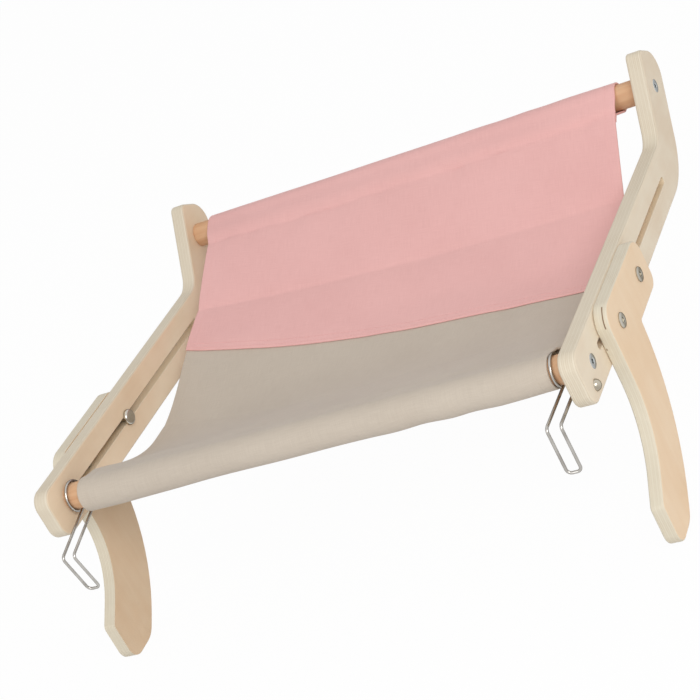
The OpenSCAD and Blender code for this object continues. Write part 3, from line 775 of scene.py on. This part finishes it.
class SeatSection:
    """Side profile of the hanging seat at one place across, from 0, left, to 1, right."""

    STEPS = 240
    AHEAD = 0.004

    def __init__(self, cloth, side):
        self.cloth, self.side = cloth, side
        self.wrap_r = DOWEL_R + cloth.sleeve_play + cloth.thickness / 2
        self.fall = cloth.fall
        self.rise = between(cloth.rise_left, cloth.rise_right, side)
        first = LOWER_AXIS + self.wrap_r * Vector((math.sin(self.fall), math.cos(self.fall)))
        last = UPPER_AXIS + self.wrap_r * Vector((-math.sin(self.rise), math.cos(self.rise)))
        fall_run = between(cloth.fall_run_left, cloth.fall_run_right, side)
        rise_run = between(cloth.rise_run_left, cloth.rise_run_right, side)
        self.points = (first, first + fall_run * on_circle(-self.fall),
                       last - rise_run * on_circle(self.rise), last)
        self.crease = between(cloth.crease_left, cloth.crease_right, side)
        self.drop = between(cloth.crease_drop_left, cloth.crease_drop_right, side)
        self.shares = np.linspace(0, 1, self.STEPS + 1)
        curve = np.array([self.on_curve(float(t)) for t in self.shares])
        lengths = np.linalg.norm(np.diff(curve, axis=0), axis=1)
        self.arcs = np.concatenate([[0], np.cumsum(lengths)])
        self.total = self.arcs[-1]
        self.crease_arc = np.interp(self.crease, self.shares, self.arcs)
        seam_share = between(cloth.seam_left, cloth.seam_right, side)
        self.seam = np.interp(seam_share, self.shares, self.arcs)

    def on_curve(self, t):
        """Point of the hanging curve, with its crease, at a share of the curve."""
        a, b, c, d = self.points
        p = (1 - t) ** 3 * a + 3 * t * (1 - t) ** 2 * b + 3 * t * t * (1 - t) * c + t ** 3 * d
        fold = max(0.0, 1 - abs(t - self.crease) / self.cloth.crease_half)
        return Vector((p.x, p.y - self.drop * fold * fold))

    def at(self, arc):
        """Point and upward normal at an arc length from the lower dowel."""
        t = float(np.interp(arc, self.arcs, self.shares))
        ahead = self.on_curve(min(1, t + self.AHEAD))
        behind = self.on_curve(max(0, t - self.AHEAD))
        along = (ahead - behind).normalized()
        return self.on_curve(t), Vector((-along.y, along.x))

    def arc_from(self, way, distance):
        """Arc length at a distance from the lower (-1) or upper (1) dowel."""
        return distance if way < 0 else self.total - distance

    def pocket(self, way):
        """Distance from a dowel to its sleeve's stitching."""
        cloth = self.cloth
        start, stop = ((cloth.pocket_low, cloth.pocket_low_end) if way < 0
                       else (cloth.pocket_up, cloth.pocket_up_end))
        return between(start, stop, self.side ** 3)


def ripple_at(cloth, section, x, arc):
    """How far the hanging cloth stands off its smooth section, up or down."""
    side = section.side
    free = ease_in(arc / HELD_RUN) * ease_in((section.total - arc) / HELD_RUN)
    lift = cloth.ripple * noise.noise((x * 8.0, arc * 14.0, 0.4))
    lift += 0.45 * cloth.ripple * noise.noise((x * 23.0, arc * 31.0, 3.7))
    # Along the sleeves' stitching: gathers, the stitched groove, a full sleeve and fanned folds
    for way in (-1, 1):
        pocket = section.pocket(way)
        off = section.arc_from(way, arc) - pocket
        lift += cloth.pucker * swell(off, 13 * MM) * noise.noise((x * 58.0, way * 5.1, 1.3))
        lift -= cloth.pinch * fade(off, 4.5 * MM)
        if off < 0:
            lift += cloth.bulge * math.sin(math.pi * min(1.0, -off / pocket)) ** 1.2
        if off > 0:
            fan = noise.noise((x * 33.0, way * 9.7, 6.1))
            lift += 1.3 * cloth.pucker * fade(off, 40 * MM) * fan
    lift -= cloth.crease_line * fade(arc - section.crease_arc, 5 * MM)
    gather = noise.noise((x * 30.0, 2.2, 8.4))
    lift += 0.9 * cloth.pucker * swell(arc - section.seam, 20 * MM) * gather
    # A shallow dent across the lower panel, and loose side edges
    dent = (118 + 28 * max(0.0, 1 - side * 2.2) - 6 * side) * MM
    lift -= 1.5 * cloth.ripple * fade(arc - dent, 11 * MM) * (0.75 - 0.4 * side)
    flutter = noise.noise((arc * 17.0, math.copysign(3, x), 2.0))
    lift += 1.2 * cloth.ripple * swell(CLOTH_HALF_W - abs(x), 30 * MM) * flutter
    return lift * free


def sleeve_slack(cloth, x, down):
    """How far a sleeve hangs off its dowel; down is 1 at the dowel's lowest line."""
    ends = ease_in((CLOTH_HALF_W - abs(x)) / (50 * MM))
    wave = 0.6 + 0.5 * noise.noise((x * 16.0, 4.4, 0.9))
    wave += 1.3 * ease_in((x - 40 * MM) / (100 * MM)) * noise.noise((x * 33.0, 1.7, 5.2))
    loose = cloth.left_slack * ease_in((-x - 100 * MM) / (120 * MM))
    return max(0.0, (cloth.ripple * (0.25 + 0.75 * ends) * wave + loose) * ease_in(down))


def edge_shift(cloth, section, x, arc):
    """Side shift of the cloth: in past the lower sleeve, and more below the upper one."""
    below = section.total - arc
    pull = cloth.draw_in * ease_in((arc - 10 * MM) / (50 * MM))
    pull += cloth.waist * ease_in(below / (30 * MM)) * ease_in(1 - (below - 30 * MM) / (120 * MM))
    return -pull * (LEFT_PULL if x < 0 else 1.0) * (x / CLOTH_HALF_W) ** 3


def seat_spot(cloth, section, x, arc, off=0.0):
    """Point of the rippled seat, standing off its middle surface."""
    place, up = section.at(arc)
    place = place + up * (ripple_at(cloth, section, x, arc) + off)
    return (x + edge_shift(cloth, section, x, arc), place.x, place.y)


def sleeve_angles(section, axis, hem_spot, way):
    """Angles round the dowel at which a sleeve starts on top and leaves underneath."""
    reach = Vector(hem_spot[1:]) - axis
    swing = math.acos(min(1.0, section.wrap_r / reach.length))
    if way < 0:
        top = math.pi / 2 - section.fall
        leave = math.atan2(reach.y, reach.x) - swing + 2 * math.pi
    else:
        top = math.pi / 2 + section.rise
        leave = math.atan2(reach.y, reach.x) + swing
        while leave > top:
            leave -= 2 * math.pi
    return top, leave


def lay_off(cloth, off):
    """Step of a panel at the seam: the pink one lies on top, the beige one under it."""
    return 0.5 * (cloth.thickness + SEAM_AIR) * ease_in(1 - off / SEAM_RUN)


def panel_column(cloth, side, way):
    """Points of a panel's middle at one place across.

    way is -1 for the lower panel, whose path runs from its hem round the lower dowel to the seam,
    and 1 for the upper one, whose path runs from its hem round the upper dowel to the seam.
    """
    section = SeatSection(cloth, side)
    x = across(side)
    axis = LOWER_AXIS if way < 0 else UPPER_AXIS
    points = []
    hem_end = section.pocket(way) + cloth.hem
    for step in (*END_STEPS, *HEM_STEPS, cloth.hem):
        arc = section.arc_from(way, hem_end - step)
        points.append(seat_spot(cloth, section, x, arc, -cloth.thickness - HEM_AIR))
    hem_spot = points[-1]
    top, leave = sleeve_angles(section, axis, hem_spot, way)
    out = on_circle(leave)
    touch = axis + section.wrap_r * out
    out_x = x + edge_shift(cloth, section, x, section.arc_from(way, 0.0))
    for k in range(1, UNDER_ROWS):
        share = k / UNDER_ROWS
        spot = Vector(hem_spot[1:]).lerp(touch, share)
        spot += out * (sleeve_slack(cloth, x, 1.0) * share * share)
        points.append((between(hem_spot[0], out_x, share), *spot))
    for k in range(WRAP_ROWS + 1):
        down = min(1.0, SLACK_ONSET * (WRAP_ROWS - k) / WRAP_ROWS)
        out = on_circle(between(leave, top, k / WRAP_ROWS))
        points.append((out_x, *(axis + out * (section.wrap_r + sleeve_slack(cloth, x, down)))))
    seam = section.seam + (cloth.overlap if way < 0 else 0.0)
    run = section.arc_from(way, seam)
    ends = [run - step for step in reversed(END_STEPS)]
    for distance in [ends[0] * k / SEAT_ROWS for k in range(1, SEAT_ROWS)] + ends:
        arc = section.arc_from(way, distance)
        near = (seam - arc) * -way
        step = way * lay_off(cloth, max(0.0, near - cloth.overlap))
        points.append(seat_spot(cloth, section, x, arc, step))
    return points


def hem_profile(cloth, distance):
    """Thickness of a panel at a distance from its cut edge: rounded rim, hem, stitched line."""
    past = distance - cloth.side_hem
    hem = cloth.thickness * (1.12 - 0.12 * ease_in(past / (1.5 * MM)))
    hem -= 0.16 * cloth.thickness * swell(past + SIDE_STITCH, 1.1 * MM)
    rim = hem / 2
    if distance < rim:
        hem = 2 * math.sqrt(max(0.0, rim * rim - (rim - distance) ** 2)) + THIN_RIM
    return hem


def shell_mesh(name, middle, thickness, flat):
    """Closed mesh of a sheet from its middle surface, with its flat map in metres."""
    rows, columns = middle.shape[:2]
    normal = np.cross(np.gradient(middle, axis=1), np.gradient(middle, axis=0))
    normal /= np.linalg.norm(normal, axis=2, keepdims=True)
    half = normal * thickness[:, :, None] / 2
    points = np.concatenate([(middle + half).reshape(-1, 3), (middle - half).reshape(-1, 3)])
    count = rows * columns
    grid = np.arange(count).reshape(rows, columns)

    def quads(*corners):
        return np.stack([corner.ravel() for corner in corners], axis=1)

    a, b, c, d = grid[:-1, :-1], grid[:-1, 1:], grid[1:, 1:], grid[1:, :-1]
    faces = [quads(a, b, c, d), quads(a + count, d + count, c + count, b + count)]
    for first, second in ((grid[:-1, 0], grid[1:, 0]), (grid[1:, -1], grid[:-1, -1]),
                          (grid[0, 1:], grid[0, :-1]), (grid[-1, :-1], grid[-1, 1:])):
        faces.append(quads(first, second, second + count, first + count))
    faces = np.concatenate(faces)
    mesh = bpy.data.meshes.new(name)
    mesh.from_pydata(points.tolist(), [], faces.tolist())
    both = np.concatenate([flat.reshape(-1, 2)] * 2)
    layer = mesh.uv_layers.new(name="cut")
    layer.data.foreach_set("uv", both[faces.ravel()].astype(np.float32).ravel())
    mesh.polygons.foreach_set("use_smooth", np.ones(len(faces), bool))
    mesh.update()
    return mesh


def panel_sides():
    """Places across a panel, close together at its two edges, as shares of its width."""
    width = 2 * CLOTH_HALF_W
    edge = [*END_STEPS, *SIDE_STEPS]
    middle = [between(edge[-1], width - edge[-1], k / SEAT_COLUMNS) for k in range(1, SEAT_COLUMNS)]
    return [place / width for place in edge + middle + [width - e for e in reversed(edge)]]


def panel_piece(cloth, name, way):
    """One panel of the seat, with its width and longest length, and its area, when cut flat."""
    sides = panel_sides()
    middle = np.array([panel_column(cloth, side, way) for side in sides]).transpose(1, 0, 2)
    if way > 0:
        middle = middle[::-1]
    steps = np.linalg.norm(np.diff(middle, axis=0), axis=2)
    run = np.concatenate([np.zeros((1, len(sides))), np.cumsum(steps, axis=0)])
    lengths = run[-1]
    width, rim = 2 * CLOTH_HALF_W, cloth.thickness / 2
    thickness = np.zeros(run.shape)
    for j, side in enumerate(sides):
        hem = hem_profile(cloth, min(side, 1 - side) * width)
        for i, place in enumerate(run[:, j]):
            end = min(place, lengths[j] - place)
            cap = 1.0 if end > rim else math.sqrt(max(0.0, 1 - (1 - end / rim) ** 2))
            thickness[i, j] = max(THIN_RIM, hem * cap)
    flat = np.stack([np.broadcast_to(middle[0, :, 0], run.shape), run], axis=2)
    mesh = shell_mesh(name, middle, thickness, flat)
    area = float(np.trapz(lengths, np.array(sides) * width))
    return new_piece(name, mesh), (width, float(lengths.max())), area


def sewing_lines(cloth, way):
    """Lines of stitching on a panel, each as a list of points on its cloth."""
    proud = 0.1 * cloth.thread
    lift = cloth.thickness / 2 + proud
    pocket_row, under_row = [], []
    seam_rows = [[] for _ in SEAM_STITCHES] if way > 0 else []
    for k in range(SEWN_STEPS + 1):
        side = between(SEWN_INSET, 1 - SEWN_INSET, k / SEWN_STEPS)
        x = across(side)
        section = SeatSection(cloth, side)
        arc = section.arc_from(way, section.pocket(way))
        pocket_row.append(seat_spot(cloth, section, x, arc, lift))
        under_row.append(seat_spot(cloth, section, x, arc, -lift - cloth.thickness - HEM_AIR))
        for row, inset in zip(seam_rows, SEAM_STITCHES):
            top = lay_off(cloth, max(0.0, inset - cloth.overlap)) + lift
            row.append(seat_spot(cloth, section, x, section.seam + inset, top))
    lines = [pocket_row, under_row, *seam_rows]
    hem = (cloth.side_hem - SIDE_STITCH) / (2 * CLOTH_HALF_W)
    sunk = 0.84 * cloth.thickness / 2 + proud
    for side in (hem, 1 - hem):
        path = np.array(panel_column(cloth, side, way))
        if way > 0:
            path = path[::-1]
        out = np.cross(np.array([1.0, 0, 0]), np.gradient(path, axis=0))
        out /= np.linalg.norm(out, axis=1, keepdims=True)
        lines.append([tuple(p) for p in (path + out * sunk)[4:-4]])
    return lines


def sew(cloth, name, lines, material):
    """Stitches along several lines, as one piece."""
    points, edges = [], []
    for line in lines:
        edges += line_edges(len(line), len(points))
        points += line
    return grown(name, points_mesh(name, points, edges), shared("Sew stitches", stitch_tree), {
        "Pitch": cloth.stitch_pitch, "Stitch": cloth.stitch, "Thread": cloth.thread,
        "Material": material})


# Operators

class HAMMOCK_OT_arms(bpy.types.Operator):
    """Dress the two slotted plywood arms"""
    bl_idname = "hammock.arms"
    bl_label = "Arms"

    def execute(self, context):
        wood = context.scene.hammock_wood
        tones = (wood.arm_face, wood.arm_grain, wood.arm_back_shaded, wood.arm_back_grain_shaded, wood.edge_pale,
                 wood.edge_dark)
        material = plywood("arm_plywood", tones, wood, (95, 7, 95), NO_SLITS)
        stud = centre("right_end_stud").yz
        bores = [(*LOWER_AXIS, 9 * MM), (*UPPER_AXIS, 9 * MM), (*stud, 6.2 * MM)]
        for side, _ in SIDES:
            piece = eased_board(side + "_arm_board", side + "_arm", wood.ease, wood.slot_ease, bores)
            hand_in(piece, material, "ply_face", "frame", side + "_arm")
        return {"FINISHED"}


class HAMMOCK_OT_legs(bpy.types.Operator):
    """Dress the two plywood legs"""
    bl_idname = "hammock.legs"
    bl_label = "Legs"

    def execute(self, context):
        wood = context.scene.hammock_wood
        tones = (wood.leg_face, wood.leg_grain, wood.leg_back_shaded, wood.leg_back_grain_shaded, wood.leg_pale,
                 wood.leg_dark)
        material = plywood("leg_plywood", tones, wood, (95, 95, 7), 38 * MM)
        for side, _ in SIDES:
            bores = [(*centre(f"{side}_{kind}_bolt").yz, 8 * MM) for kind in ("clamp", "guide")]
            piece = eased_board(side + "_leg_board", side + "_leg", wood.ease, 0.0, bores)
            hand_in(piece, material, "ply_leg", side + "_leg", side + "_leg")
        return {"FINISHED"}


class HAMMOCK_OT_dowels(bpy.types.Operator):
    """Turn the two round dowels"""
    bl_idname = "hammock.dowels"
    bl_label = "Dowels"

    def execute(self, context):
        material = dowel_wood(context.scene.hammock_wood)
        ease = 0.8 * MM
        for name, axis in (("lower_dowel", LOWER_AXIS), ("upper_dowel", UPPER_AXIS)):
            low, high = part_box(name)
            profile = [(low.x, 0), (low.x, DOWEL_R - ease), (low.x + ease, DOWEL_R)]
            profile += [(between(low.x, high.x, k / 8), DOWEL_R) for k in range(1, 8)]
            profile += [(high.x - ease, DOWEL_R), (high.x, DOWEL_R - ease), (high.x, 0)]
            mesh = turned_mesh(name + "_rod", profile, 64)
            mesh.transform(Matrix.Translation((0, *axis)))
            hand_in(new_piece(name + "_rod", mesh), material, "dowel_wood", "frame", name)
        return {"FINISHED"}


def shank_end(tip):
    """Stations of the broken end of a screw's or bolt's shank."""
    return [(tip, 0), (tip, SHANK_R - 0.6 * MM), (tip + 0.6 * MM, SHANK_R)]


def key_socket(face, key, lip, depth, floor):
    """Stations of a hexagon socket in a head: its lip, its walls and its floor."""
    return [(face, key + 0.8 * MM), (face - 0.05 * MM, key + 0.3 * MM, "hex"),
            (face - lip, key, "hex"), (face - depth, key, "hex"), (face - floor, 0)]


class HAMMOCK_OT_dowel_screws(bpy.types.Operator):
    """Set the countersunk screws that hold the dowels"""
    bl_idname = "hammock.dowel_screws"
    bl_label = "Dowel screws"

    def execute(self, context):
        metal = context.scene.hammock_metal
        low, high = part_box("right_lower_screw")
        head = (high.z - low.z) / 2
        profile = shank_end(low.x - high.x)
        profile += [(SHANK_R - head, SHANK_R), (-0.4 * MM, head - 0.2 * MM),
                    (-0.15 * MM, head - 0.1 * MM), (0.0, head - 0.5 * MM)]
        profile += key_socket(0.0, metal.socket / 2, 0.4 * MM, 2.0 * MM, 2.4 * MM)
        spots = [(way * ARM_FACE_X, *axis) for _, way in SIDES for axis in (LOWER_AXIS, UPPER_AXIS)]
        material = plated("screw_plating", metal.screw_steel, metal.screw_dull, metal.screw_rim,
                          wear=0.4)
        piece = set_fasteners("dowel_screws", turned_mesh("dowel_screw", profile, 48), spots, material)
        nodes = [f"{side}_{row}_screw" for side, _ in SIDES for row in ("lower", "upper")]
        hand_in(piece, material, "bright_steel", "frame", *nodes)
        return {"FINISHED"}


class HAMMOCK_OT_leg_bolts(bpy.types.Operator):
    """Set the bolts and the round nuts of the legs"""
    bl_idname = "hammock.leg_bolts"
    bl_label = "Leg bolts and nuts"

    def execute(self, context):
        metal = context.scene.hammock_metal
        material = plated("bolt_plating", metal.bolt_steel, metal.bolt_dull, metal.bolt_rim, wear=0.4)
        rise = 2 * MM
        for side, way in SIDES:
            body = side + "_leg"
            for kind in ("clamp", "guide"):
                node = f"{side}_{kind}_bolt"
                low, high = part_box(node)
                head = (high.z - low.z) / 2
                profile = shank_end(low.x - high.x + rise)
                profile += [(0.0, SHANK_R), (0.0, head - 0.2 * MM), (0.2 * MM, head), (1.0 * MM, head),
                            (1.6 * MM, head - 0.5 * MM), (1.9 * MM, head - 1.4 * MM),
                            (rise, head - 2.6 * MM)]
                profile += key_socket(rise, metal.socket / 2, 0.3 * MM, 1.2 * MM, 1.4 * MM)
                spot = (way * LEG_FACE_X, *centre(node).yz)
                piece = set_fasteners(node + "_set", turned_mesh(node, profile, 48), [spot], material)
                hand_in(piece, material, "bright_steel", body, node)
            nut = f"{side}_clamp_nut"
            low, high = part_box(nut)
            tall, rim = high.x - low.x, (high.z - low.z) / 2
            profile = [(0.0, 0), (0.0, rim - 0.4 * MM), (0.4 * MM, rim), (tall * 0.45, rim)]
            profile += [(tall * (0.45 + 0.55 * math.sin(a)), rim - 2.2 * MM * (1 - math.cos(a)))
                        for a in (0.35, 0.7, 1.05, 1.35)]
            profile += [(tall, rim - 2.6 * MM), (tall, 0)]
            spot = (low.x if way < 0 else high.x, *centre(nut).yz)
            turn = 0 if way < 0 else math.pi
            nut_mesh = turned_mesh(nut, profile, 48)
            nut_mesh.transform(Matrix.Translation(spot) @ Matrix.Rotation(turn, 4, "Z"))
            hand_in(new_piece(nut + "_cap", nut_mesh), material, "bright_steel", body, nut)
        return {"FINISHED"}


class HAMMOCK_OT_end_studs(bpy.types.Operator):
    """Set the domed studs near the arms' square ends"""
    bl_idname = "hammock.end_studs"
    bl_label = "End studs"

    def execute(self, context):
        metal = context.scene.hammock_metal
        low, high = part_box("right_end_stud")
        radius, rise, shank = (high.z - low.z) / 2, high.x - ARM_FACE_X, 2.5 * MM
        dome_r = (radius ** 2 + rise ** 2) / (2 * rise)
        reach = math.asin(radius / dome_r)
        tip = low.x - ARM_FACE_X
        profile = [(tip, 0), (tip, shank), (0.0, shank), (0.0, radius)]
        for k in range(1, 10):
            angle = reach * (1 - k / 10)
            profile.append((rise - dome_r * (1 - math.cos(angle)), dome_r * math.sin(angle)))
        profile.append((rise, 0))
        spots = [(way * ARM_FACE_X, *centre("right_end_stud").yz) for _, way in SIDES]
        # The studs' heavy dark patches are partly wear and partly a painted dark reflection
        material = plated("stud_plating", metal.stud_steel, metal.stud_wear_and_reflection, metal.rim, wear=0.8)
        piece = set_fasteners("end_studs", turned_mesh("end_stud", profile, 36), spots, material)
        hand_in(piece, material, "bright_steel", "frame", "left_end_stud", "right_end_stud")
        return {"FINISHED"}


def hook_path(metal, x, droop):
    """Middle line of a hook's wire from its eye to its open half eye, and the wire's girth."""
    eye_r = DOWEL_R + HOOK_PLAY + metal.wire / 2
    bend = metal.bend
    bend_y, tip_z = metal.reach - bend, eye_r + metal.drop - bend

    def eye(px, a):
        return (px, eye_r * math.sin(a), -eye_r * math.cos(a))

    def kink(px, a):
        return (px, -bend_y - bend * math.sin(a), -eye_r - bend + bend * math.cos(a))

    def tip(px, a):
        return (px, -metal.reach, -tip_z - bend * math.sin(a))

    quarter = [math.pi / 2 * k / BEND_STEPS for k in range(BEND_STEPS + 1)]
    turns = [metal.eye_turn * k / EYE_STEPS for k in range(EYE_STEPS, -1, -1)]
    points = [eye(metal.eye_pitch * a / (2 * math.pi), a) for a in turns]
    points += [kink(0, a) for a in quarter]
    points += [tip(bend - bend * math.cos(a), a) for a in quarter]
    points += [tip(metal.width - bend + bend * math.sin(a), math.pi / 2 - a) for a in quarter]
    points += [kink(metal.width, math.pi / 2 - a) for a in quarter]
    points += [eye(metal.width, math.pi / 2 * k / 24) for k in range(25)]
    points = [Vector(p) for p in points]
    # Both ends of the wire are rounded over a short step
    first = (points[1] - points[0]).normalized()
    last = (points[-2] - points[-1]).normalized()
    girths = [girth for _, girth in WIRE_ENDS]
    girth = girths + [1.0] * (len(points) - 2) + girths[::-1]
    points = ([points[0] + first * step for step, _ in WIRE_ENDS] + points[1:-1]
              + [points[-1] + last * step for step, _ in reversed(WIRE_ENDS)])
    place = Matrix.Translation((x, *LOWER_AXIS)) @ Matrix.Rotation(droop, 4, "X")
    return [place @ p for p in points], girth


class HAMMOCK_OT_hooks(bpy.types.Operator):
    """Bend the two wire hooks on the lower dowel"""
    bl_idname = "hammock.hooks"
    bl_label = "Hooks"

    def execute(self, context):
        metal = context.scene.hammock_metal
        material = plated("wire_plating", metal.wire_steel, metal.wire_dull, metal.rim, wear=0.5)
        for side, x, droop in (("left", metal.left_x, metal.left_droop),
                               ("right", metal.right_x, metal.right_droop)):
            points, girth = hook_path(metal, x, droop)
            seed = points_mesh(side + "_hook_line", points, line_edges(len(points)),
                               [("girth", "FLOAT", girth)])
            piece = grown(side + "_hook_wire", seed, shared("Bend wire", wire_tree), {
                "Diameter": metal.wire, "Sides": WIRE_SIDES, "Material": material})
            hand_in(piece, material, "bright_steel", side + "_hook", side + "_hook")
        return {"FINISHED"}


class HAMMOCK_OT_inserts(bpy.types.Operator):
    """Finish the threaded inserts inside the dowel ends"""
    bl_idname = "hammock.inserts"
    bl_label = "Threaded inserts"

    def execute(self, context):
        metal = context.scene.hammock_metal
        material = plated("insert_brass", metal.brass, metal.bolt_dull, metal.rim, wear=0.3)
        for side, _ in SIDES:
            for row in ("lower", "upper"):
                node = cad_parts[f"{side}_{row}_insert"]
                node.data.materials.clear()
                node.data.materials.append(material)
        return {"FINISHED"}


class HAMMOCK_OT_seat(bpy.types.Operator):
    """Hang the two sewn panels of the seat on their dowels"""
    bl_idname = "hammock.seat"
    bl_label = "Seat cloth"

    def execute(self, context):
        cloth = context.scene.hammock_cloth
        for row, way, colour, light, shade in (
                ("lower", -1, "beige", cloth.beige, cloth.beige_shade),
                ("upper", 1, "pink", cloth.pink, cloth.pink_shade)):
            panel, flat, area = panel_piece(cloth, f"seat_{row}_panel", way)
            material = woven(colour + "_weave", light, shade)
            hand_in(panel, material, colour + "_cloth", "frame", f"seat_{row}_cloth")
            thread = thread_stuff(colour + "_thread", light, shade)
            stitches = sew(cloth, f"seat_{row}_stitching", sewing_lines(cloth, way), thread)
            hand_in(stitches, thread, colour + "_cloth", "frame")
        return {"FINISHED"}


# Stage

def camera_ray(tree):
    """1 for rays from the camera, mirrors and glass, else 0."""
    light = tree.nodes.new("ShaderNodeLightPath").outputs
    seen = maths(tree, "MAXIMUM", light["Is Camera Ray"], light["Is Glossy Ray"])
    return maths(tree, "MAXIMUM", seen, light["Is Transmission Ray"])


def two_shaders(data, output, share, plain, white):
    """Node tree of a world or material that mixes a plain shader with a white one."""
    data.use_nodes = True
    tree = data.node_tree
    tree.nodes.clear()
    first, second = [add(tree, kind, sockets) for kind, sockets in (plain, white)]
    factor = maths(tree, "MULTIPLY", camera_ray(tree), share)
    both = add(tree, "ShaderNodeMixShader", {0: factor, 1: first.outputs[0], 2: second.outputs[0]})
    add(tree, output, {0: both.outputs[0]})
    return data


class HAMMOCK_OT_stage(bpy.types.Operator):
    """Set the white floor, the soft lights and the camera"""
    bl_idname = "hammock.stage"
    bl_label = "Stage"

    def execute(self, context):
        scene = context.scene
        scene.view_settings.view_transform = "Standard"
        full_white = {"Color": (1, 1, 1, 1), "Strength": 1.0}
        soft_light = {"Color": (1.0, 0.985, 0.965, 1), "Strength": 0.52}
        scene.world = two_shaders(bpy.data.worlds.new("studio"), "ShaderNodeOutputWorld", 1.0,
                                  ("ShaderNodeBackground", soft_light),
                                  ("ShaderNodeBackground", full_white))

        floor_mesh = bpy.data.meshes.new("floor")
        far, z = 9.0, SOLE_Z - 0.5 * MM
        floor_mesh.from_pydata([(-far, -far, z), (far, -far, z), (far, far, z), (-far, far, z)], [],
                               [(0, 1, 2, 3)])
        floor = new_piece("floor", floor_mesh)
        matt = {"Color": (0.86, 0.86, 0.86, 1)}
        floor.data.materials.append(two_shaders(
            bpy.data.materials.new("floor_white"), "ShaderNodeOutputMaterial", 0.97,
            ("ShaderNodeBsdfDiffuse", matt), ("ShaderNodeEmission", full_white)))

        target = Vector((0.0, 0.2, 0.0))
        for name, place, size, energy in (("key", (1.55, -1.6, 1.5), 1.5, 35.0),
                                          ("fill", (-0.9, -2.4, 1.1), 1.8, 13.0),
                                          ("top", (0.0, 0.3, 2.3), 1.8, 2.0)):
            lamp = bpy.data.lights.new(name, "AREA")
            lamp.shape = "DISK"
            lamp.size = size
            lamp.energy = energy
            light = new_piece(name, lamp)
            light.location = place
            light.rotation_euler = (target - Vector(place)).to_track_quat("-Z", "Y").to_euler()

        camera_data = bpy.data.cameras.new("camera")
        camera_data.sensor_width = 36.0
        camera_data.lens = 102.585
        camera_data.shift_x = -0.00397
        camera_data.shift_y = 0.02296
        camera = new_piece("camera", camera_data)
        right = Vector((0.848166, 0.298563, -0.437565))
        down = Vector((-0.234393, -0.529244, -0.81545))
        ahead = Vector((-0.475049, 0.794201, -0.378901))
        turn = Matrix((right, -down, -ahead)).transposed()
        camera.matrix_world = Matrix.Translation((0.82968, -1.23295, 0.6695)) @ turn.to_4x4()
        scene.camera = camera
        return {"FINISHED"}


# Panel and registration

class HAMMOCK_PT_pieces(bpy.types.Panel):
    """Buttons for every group of pieces"""
    bl_idname = "HAMMOCK_PT_pieces"
    bl_label = "Cat hammock"
    bl_space_type = "VIEW_3D"
    bl_region_type = "UI"
    bl_category = "Hammock"

    def draw(self, context):
        for operator in OPERATORS:
            self.layout.operator(operator.bl_idname)


OPERATORS = (HAMMOCK_OT_stage, HAMMOCK_OT_arms, HAMMOCK_OT_legs, HAMMOCK_OT_dowels,
             HAMMOCK_OT_dowel_screws, HAMMOCK_OT_leg_bolts, HAMMOCK_OT_end_studs,
             HAMMOCK_OT_hooks, HAMMOCK_OT_inserts, HAMMOCK_OT_seat)
SETTINGS = (("hammock_cloth", HammockCloth), ("hammock_wood", HammockWood),
            ("hammock_metal", HammockMetal))


def register():
    for _, group in SETTINGS:
        bpy.utils.register_class(group)
    for name, group in SETTINGS:
        setattr(bpy.types.Scene, name, PointerProperty(type=group))
    for kind in (*OPERATORS, HAMMOCK_PT_pieces):
        bpy.utils.register_class(kind)


def unregister():
    for kind in reversed((*OPERATORS, HAMMOCK_PT_pieces)):
        bpy.utils.unregister_class(kind)
    for name, group in reversed(SETTINGS):
        delattr(bpy.types.Scene, name)
        bpy.utils.unregister_class(group)


def main():
    register()
    for operator in OPERATORS:
        getattr(bpy.ops.hammock, operator.bl_idname.split(".")[1])()


if __name__ == "__main__":
    main()
